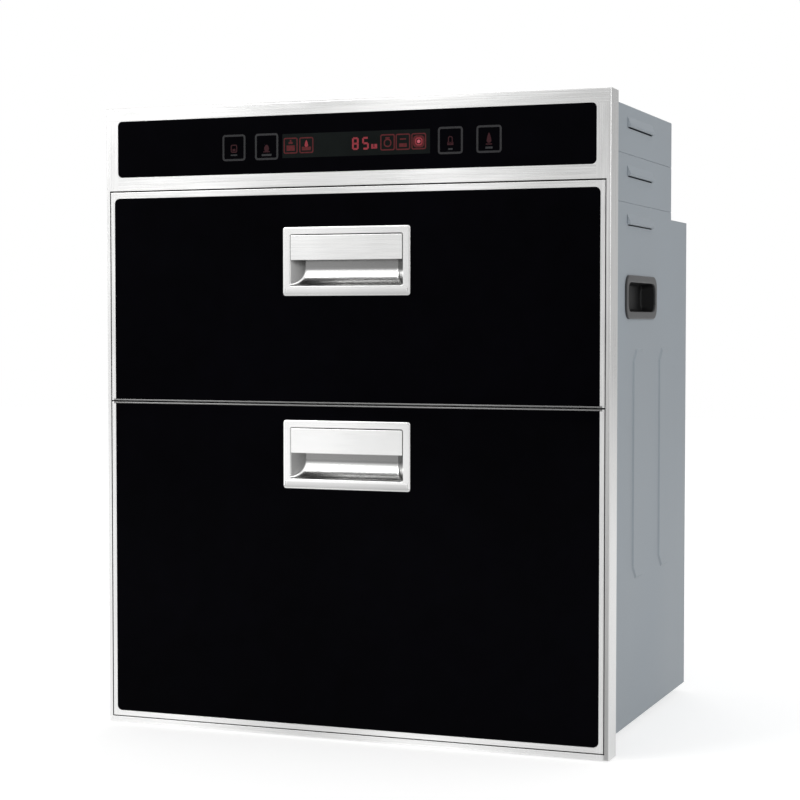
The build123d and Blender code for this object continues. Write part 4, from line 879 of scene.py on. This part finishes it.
def addStrip(webX, y, rowZ, reach):
    # a retainer's web, with a flange folded over at its top and bottom
    bpy.ops.mesh.primitive_plane_add(size=1, location=(webX, sum(y) / 2, sum(rowZ) / 2),
                                     rotation=(0, math.pi / 2, 0))
    bpy.context.object.scale = (rowZ[1] - rowZ[0], y[1] - y[0], 1)
    strip = started("strip")
    near = cage["near"] * mm
    for z in rowZ:
        verts = strip.data.vertices
        choose(strip, "EDGE", lambda e: all(abs(verts[i].co.z - z) < near and verts[i].co.x > webX - near
                                            for i in e.vertices))
        pullEdges((-reach, 0, 0))
        leave()
    turnOut(strip)
    modify(strip, "SOLIDIFY", thickness=cage["sheet"] * mm, offset=0.0)
    turnOut(strip)
    roundEdges(strip, cage["round"] * mm, angle=60)
    return strip


for name in drawers:
    for layer in ("outer", "inner"):
        low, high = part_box(f"{name}_{layer}_cages")
        middle, up = (low.z + high.z) / 2, cage["rowHeight"][layer] * mm
        rowX, rowZ = high.x - cage["rowDepth"][layer] * mm, (middle - up, middle + up)
        webX = high.x - cage["sheet"] / 2 * mm
        strip = addStrip(webX, (low.y, high.y), rowZ, webX - rowX + cage["sheet"] * mm)
        ends = (low.y + cage["endSpace"] * mm, high.y - cage["endSpace"] * mm)
        bpy.ops.mesh.primitive_uv_sphere_add(segments=14, ring_count=8, radius=cage["ball"] * mm,
                                             location=(rowX, ends[0], rowZ[0]))
        firstBall = started("ball")
        moves = [(0, y - ends[0], z - rowZ[0]) for z in rowZ for y in spaced(*ends, cage["balls"])]
        balls = [firstBall] + [copyOf(firstBall, move) for move in moves[1:]]
        piece = bothSides(f"{name}_{layer}_ball_cages", joined("cage", [strip] + balls))
        place(piece, f"{name}_{layer}_cages", "slide_steel", (f"{name}_{layer}_cages",))


# quartz heaters and ultraviolet lamp
print("tubes")

tubeLook = {"wall": 1.0, "coilSteps": 10, "coilSides": 5, "coilEnd": 12.0, "capLength": 9.0,
            "capGrow": 0.5, "capSink": 0.2, "capRound": 0.6, "electrodeEnd": 22.0, "electrodeHalf": 6.0}
# radius of the winding, of its wire, and the pitch
winding = {"coil": (3.3, 0.5, 4.0), "electrode": (2.2, 0.4, 2.4)}


def hollowTube(name, x, y, z, radius):
    tube = addRod(name, (-x, y, z), (x, y, z), radius)
    choose(tube, "FACE", lambda f: abs(f.normal.x) > 0.9)
    bpy.ops.mesh.inset(thickness=tubeLook["wall"] * mm)
    bridgeRims(tube)
    return tube


def coil(name, half, y, z):
    radius, wire, pitch = (size * mm for size in winding[name])
    bpy.ops.mesh.primitive_circle_add(vertices=tubeLook["coilSides"], radius=wire, location=(0, radius, 0))
    piece = started(name)
    turns = int(2 * half / pitch)
    modify(piece, "SCREW", axis="X", angle=2 * math.pi, screw_offset=pitch, iterations=turns,
           steps=tubeLook["coilSteps"], render_steps=tubeLook["coilSteps"])
    edit(piece)
    bpy.ops.mesh.fill_holes(sides=0)
    leave()
    piece.location = (-turns * pitch / 2, y, z)
    applyPlace(piece)
    turnOut(piece, merge=1e-7)
    return piece


def tubeCaps(tubeEnd, y, z, radius):
    capEnd = tubeEnd - tubeLook["capSink"] * mm
    capStart = capEnd - tubeLook["capLength"] * mm
    cap = addRod("cap", (capStart, y, z), (capEnd, y, z), radius + tubeLook["capGrow"] * mm)
    roundEdges(cap, tubeLook["capRound"] * mm, 3)
    return bothSides("caps", cap)


low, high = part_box("heater_tubes")
radius = (high.y - low.y) / 2
tubeY = (low.y + high.y) / 2
heaterZ = (low.z + radius, high.z - radius)
glassTubes = joined("heater_glass", [hollowTube("tube", high.x, tubeY, z, radius) for z in heaterZ])
place(glassTubes, "cabinet", "quartz", ("heater_tubes",))
coils = [coil("coil", high.x - tubeLook["coilEnd"] * mm, tubeY, z) for z in heaterZ]
place(joined("heater_coils", coils), "cabinet", "screw_steel", finish="heater_wire", angle=75)
caps = [tubeCaps(high.x, tubeY, z, radius) for z in heaterZ]
place(joined("heater_caps", caps), "cabinet", "ceramic")

low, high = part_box("uv_lamp")
radius = (high.z - low.z) / 2
lampZ = (low.z + high.z) / 2
place(hollowTube("lamp_glass", high.x, tubeY, lampZ, radius), "cabinet", "quartz", ("uv_lamp",))
lampCaps = tubeCaps(high.x, tubeY, lampZ, radius)
electrode = coil("electrode", tubeLook["electrodeHalf"] * mm, tubeY, lampZ)
electrodeX = high.x - tubeLook["electrodeEnd"] * mm
electrodes = [copyOf(electrode, (side * electrodeX, 0, 0)) for side in (-1, 1)]
discard(electrode)
place(joined("lamp_caps", [lampCaps] + electrodes), "cabinet", "screw_steel", angle=75)


# guard wires in front of the heaters
print("heater guard")

guard = {"wire": 3.6, "bars": 9, "endSpace": 8.0, "bend": 9.0, "weld": 1.4}
low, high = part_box("heater_guard")
wire = guard["wire"] * mm
hoopX = high.x - wire
zEnds = (low.z + wire / 2, high.z - wire / 2)
barY = low.y + wire / 2
hoopY = barY + guard["weld"] * mm
hoop = [(-hoopX, high.y, zEnds[0]), (-hoopX, hoopY, zEnds[0]), (-hoopX, hoopY, zEnds[1]),
        (-hoopX, high.y, zEnds[1])]
wires = wireCopies(hoop, [-hoopX, hoopX], (1, 0, 0), wire, guard["bend"] * mm)
barZ = spaced(zEnds[0] + guard["endSpace"] * mm, zEnds[1] - guard["endSpace"] * mm, guard["bars"])
guardBar = [(-high.x, barY, barZ[0]), (0, barY, barZ[0]), (high.x, barY, barZ[0])]
wires += wireCopies(guardBar, barZ, (0, 0, 1), wire, guard["bend"] * mm)
place(joined("heater_guard_wires", wires), "cabinet", "chrome_wire", ("heater_guard",), angle=50)


# circulation fan, on the shaft of its motor
print("fan")

fan = {"ceilingGap": 3.0, "radius": 46.0, "hub": 13.0, "hubHeight": 12.0, "dome": 2.0, "shaft": 3.0,
       "blades": 7, "bladeHeight": 17.0, "root": 2.5, "thickness": 1.2, "pitch": 30.0, "twist": -14.0,
       "scoop": 1.6, "domeInsets": (0.3, 0.4), "hubSides": 40, "hubRound": 0.6, "bladeRound": 0.35,
       "shaftSides": 24, "shaftSink": 1.0}
motorLow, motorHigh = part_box("fan_motor")
fanX, fanY = (motorLow.x + motorHigh.x) / 2, (motorLow.y + motorHigh.y) / 2
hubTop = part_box("fan_guard")[1].z - fan["ceilingGap"] * mm
hubLow = hubTop - fan["hubHeight"] * mm
hub = addRod("hub", (fanX, fanY, hubLow), (fanX, fanY, hubTop), fan["hub"] * mm, fan["hubSides"])
choose(hub, "FACE", lambda f: f.normal.z < -0.9)
for share in fan["domeInsets"]:
    bpy.ops.mesh.inset(thickness=share * fan["hub"] * mm)
    bpy.ops.transform.translate(value=(0, 0, -fan["dome"] / 2 * mm))
leave()
roundEdges(hub, fan["hubRound"] * mm, 3)
shaftLow, shaftTop = hubTop - fan["shaftSink"] * mm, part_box("fan_impeller")[1].z
shaft = addRod("shaft", (fanX, fanY, shaftLow), (fanX, fanY, shaftTop), fan["shaft"] * mm,
               fan["shaftSides"])
bladeStart, bladeEnd = (fan["hub"] - fan["root"]) * mm, fan["radius"] * mm
bpy.ops.mesh.primitive_grid_add(x_subdivisions=8, y_subdivisions=6, size=1,
                                location=((bladeStart + bladeEnd) / 2, 0, 0))
bpy.context.object.scale = (bladeEnd - bladeStart, fan["bladeHeight"] * mm, 1)
blade = started("blade")
for vert in blade.data.vertices:
    # pitched at the hub and flatter at the tip, with a slight scoop across its width
    along = (vert.co.x - bladeStart) / (bladeEnd - bladeStart)
    angle = math.radians(fan["pitch"] + fan["twist"] * along)
    across = vert.co.y
    scoop = (2 * across / (fan["bladeHeight"] * mm)) ** 2 * fan["scoop"] * mm
    vert.co.y = across * math.cos(angle) - scoop * math.sin(angle)
    vert.co.z = across * math.sin(angle) + scoop * math.cos(angle)
modify(blade, "SOLIDIFY", thickness=fan["thickness"] * mm, offset=0.0)
turnOut(blade)
roundEdges(blade, fan["bladeRound"] * mm, angle=50)
blades = [copyOf(blade, (fanX, fanY, (hubLow + hubTop) / 2), i * 2 * math.pi / fan["blades"])
          for i in range(fan["blades"])]
discard(blade)
place(joined("impeller", [hub, shaft] + blades), "fan_rotor", "grey_plastic", ("fan_impeller",))


# rear screws, feet and gland
print("small parts")

screw = {"head": 3.6, "height": 1.8, "washer": 0.5, "crown": 3.2, "dish": 0.9, "dishDepth": 0.5,
         "shank": 1.9, "shankSides": 16, "round": 0.2}
low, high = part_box("panel_screws")
screwX = high.x - screw["head"] * mm
headHalf = screw["head"] * mm * math.cos(math.pi / 6)
screwZ = (low.z + headHalf, high.z - headHalf)
sheetY = high.y - screw["height"] * mm
washerY = sheetY + screw["washer"] * mm


def screwRod(name, start, end, radius, sides=32):
    return addRod(name, (screwX, start, screwZ[0]), (screwX, end, screwZ[0]), radius * mm, sides)


shank = screwRod("shank", low.y, washerY, screw["shank"], screw["shankSides"])
washer = screwRod("washer", sheetY, washerY, screw["head"])
crown = screwRod("crown", sheetY, high.y, screw["crown"], sides=6)
choose(crown, "FACE", lambda f: f.normal.y > 0.9)
bpy.ops.mesh.inset(thickness=screw["dish"] * mm)
pushFaces(y=-screw["dishDepth"] * mm)
leave()
roundEdges(crown, screw["round"] * mm)
one = joined("screw", [shank, washer, crown])
pair = joined("screws", [one, copyOf(one, (0, 0, screwZ[1] - screwZ[0]))])
place(bothSides("rear_screws", pair), "cabinet", "screw_steel", ("panel_screws",))

foot = {"radius": 14.0, "recess": 4.0, "recessDepth": 1.5, "round": 1.0, "sides": 48}
low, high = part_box("feet")
footX, footY = high.x - foot["radius"] * mm, (low.y + foot["radius"] * mm, high.y - foot["radius"] * mm)
one = addRod("foot", (footX, footY[0], 0.0), (footX, footY[0], high.z), foot["radius"] * mm, foot["sides"])
choose(one, "FACE", lambda f: f.normal.z < -0.9)
bpy.ops.mesh.inset(thickness=foot["recess"] * mm)
pushFaces(z=foot["recessDepth"] * mm)
leave()
roundEdges(one, foot["round"] * mm, 4)
moves = [(footX * side - footX, y - footY[0], 0) for side in (1, -1) for y in footY]
feet = [one] + [copyOf(one, move) for move in moves[1:]]
place(joined("rubber_feet", feet), "cabinet", "foot_rubber", ("feet",))

gland = {"body": 9.0, "nut": 12.0, "nutHeight": 5.0, "bore": 4.5, "lip": 2.0, "round": 1.1, "sheet": 0.8,
         "floor": 0.5, "sides": 36, "nutRound": 0.9}
low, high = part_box("cord_gland")
glandX, glandY = (low.x + high.x) / 2, (low.y + high.y) / 2
stepZ = (low.z + high.z) / 2
body = addRod("gland", (glandX, glandY, low.z), (glandX, glandY, high.z), gland["body"] * mm,
              gland["sides"])
choose(body, "FACE", lambda f: f.normal.z > 0.9)
bpy.ops.mesh.inset(thickness=gland["lip"] * mm)
bpy.ops.mesh.inset(thickness=(gland["body"] - gland["lip"] - gland["bore"]) * mm)
pushFaces(z=low.z - high.z + gland["floor"] * mm)
leave()
roundEdges(body, gland["round"] * mm, 4, 50)
nuts = []
nutHeight = gland["nutHeight"] * mm
for z in (stepZ, stepZ - nutHeight - gland["sheet"] * mm):
    nut = addRod("nut", (glandX, glandY, z), (glandX, glandY, z + nutHeight), gland["nut"] * mm, sides=6)
    roundEdges(nut, gland["nutRound"] * mm, 3)
    nuts.append(nut)
place(joined("cord_gland_body", [body] + nuts), "cabinet", "black_plastic", ("cord_gland",), angle=35)


# light, floor, backdrop and camera
print("stage")

studio = {"worldDiffuse": 0.60, "skyLow": 0.62, "skyHigh": 1.0, "skyFrom": 0.3, "skyTo": 0.8,
          "leftLean": -1.3, "rise": 2.0, "floorSize": 14, "floorColor": 0.66, "floorRough": 0.9,
          "floorGlow": 0.52, "farGlow": 0.12, "farReach": (1.2, 3.0), "frontGlow": 0.1,
          "frontReach": (-0.75, -0.3), "frontSide": (-0.15, 0.45), "frontRight": 0.25}


def anyOf(tree, path, rays):
    total = path.outputs[rays[0]]
    for ray in rays[1:]:
        total = addMath(tree, "MAXIMUM", total, path.outputs[ray])
    return total


def addBackground(tree, strength):
    node = addNode(tree, "ShaderNodeBackground")
    node.inputs["Color"].default_value = (1, 1, 1, 1)
    if isinstance(strength, float):
        node.inputs["Strength"].default_value = strength
    else:
        tree.links.new(strength, node.inputs["Strength"])
    return node.outputs[0]


def mixShaders(tree, amount, first, second):
    node = addNode(tree, "ShaderNodeMixShader")
    for socket, output in zip(node.inputs, (amount, first, second)):
        tree.links.new(output, socket)
    return node.outputs[0]


world = bpy.data.worlds.new("studio")
bpy.context.scene.world = world
world.use_nodes = True
tree = world.node_tree
tree.nodes.clear()
path = addNode(tree, "ShaderNodeLightPath")
axes = axesOf(tree, "Generated")
# metal and glass see a room that is brightest overhead and to the left, as soft boxes there leave it
lean = addMath(tree, "MULTIPLY", axes["X"], studio["leftLean"])
sky = ranged(tree, addMath(tree, "MULTIPLY_ADD", axes["Z"], studio["rise"], lean),
             studio["skyLow"], studio["skyHigh"], studio["skyFrom"], studio["skyTo"])
seen = mixShaders(tree, anyOf(tree, path, ("Is Glossy Ray", "Is Transmission Ray")),
                  addBackground(tree, studio["worldDiffuse"]), addBackground(tree, sky))
output = addNode(tree, "ShaderNodeOutputWorld")
tree.links.new(mixShaders(tree, path.outputs["Is Camera Ray"], seen, addBackground(tree, 1.0)),
               output.inputs["Surface"])

bpy.ops.mesh.primitive_plane_add(size=studio["floorSize"], location=(0, 0, 0))
floor = bpy.context.object
floor.name = "floor"
floorMaterial, shader = newMaterial("floor", (studio["floorColor"],) * 3, 0.0, studio["floorRough"])
shader.inputs["Specular IOR Level"].default_value = 0.0
shader.inputs["Emission Color"].default_value = (1, 1, 1, 1)
tree = floorMaterial.node_tree
path = addNode(tree, "ShaderNodeLightPath")
axes = axesOf(tree)
seen = anyOf(tree, path, ("Is Camera Ray", "Is Glossy Ray", "Is Transmission Ray"))
floorLight = addMath(tree, "MULTIPLY", seen, studio["floorGlow"])
ySquared = addMath(tree, "MULTIPLY", axes["Y"], axes["Y"])
away = addMath(tree, "SQRT", addMath(tree, "MULTIPLY_ADD", axes["X"], axes["X"], ySquared))
fade = ranged(tree, away, 0.0, studio["farGlow"], *studio["farReach"])
farLight = addMath(tree, "MULTIPLY", path.outputs["Is Camera Ray"], fade)
# glossy surfaces see the floor a little lighter in front of the cabinet
frontFade = ranged(tree, axes["Y"], 0.0, studio["frontGlow"], *studio["frontReach"])
sideFade = ranged(tree, axes["X"], 1.0, studio["frontRight"], *studio["frontSide"])
frontLight = addMath(tree, "MULTIPLY", addMath(tree, "MULTIPLY", frontFade, sideFade),
                     path.outputs["Is Glossy Ray"])
light = addMath(tree, "ADD", addMath(tree, "ADD", floorLight, farLight), frontLight)
tree.links.new(light, shader.inputs["Emission Strength"])
floor.data.materials.append(floorMaterial)

lampTarget = (0, 0, 0.35)
lamps = {"key_light": {"spot": (-1.8, -2.2, 2.2), "size": (1.6, 1.6), "power": 34},
         "side_light": {"spot": (2.6, -0.4, 1.5), "size": (1.4, 1.8), "power": 16},
         "back_light": {"spot": (-0.6, 2.6, 2.0), "size": (2.0, 1.2), "power": 18}}


def addLamp(name, spot, size, power):
    aim = (Vector(lampTarget) - Vector(spot)).to_track_quat("-Z", "Y").to_euler()
    bpy.ops.object.light_add(type="AREA", location=spot, rotation=aim)
    lamp = bpy.context.object
    lamp.name = name
    lamp.data.shape = "RECTANGLE"
    lamp.data.size, lamp.data.size_y = size
    lamp.data.energy = power


for name, lamp in lamps.items():
    addLamp(name, **lamp)

camera = {"lens": 88.43, "sensor": 36.0, "yaw": 0.3664, "pitch": 0.0397, "spot": (0.8301, -2.2152, 0.4646)}
bpy.ops.object.camera_add(location=camera["spot"],
                          rotation=(math.pi / 2 - camera["pitch"], 0, camera["yaw"]))
view = bpy.context.object
view.data.lens = camera["lens"]
view.data.sensor_width = camera["sensor"]
bpy.context.scene.camera = view
bpy.context.scene.view_settings.view_transform = "Standard"
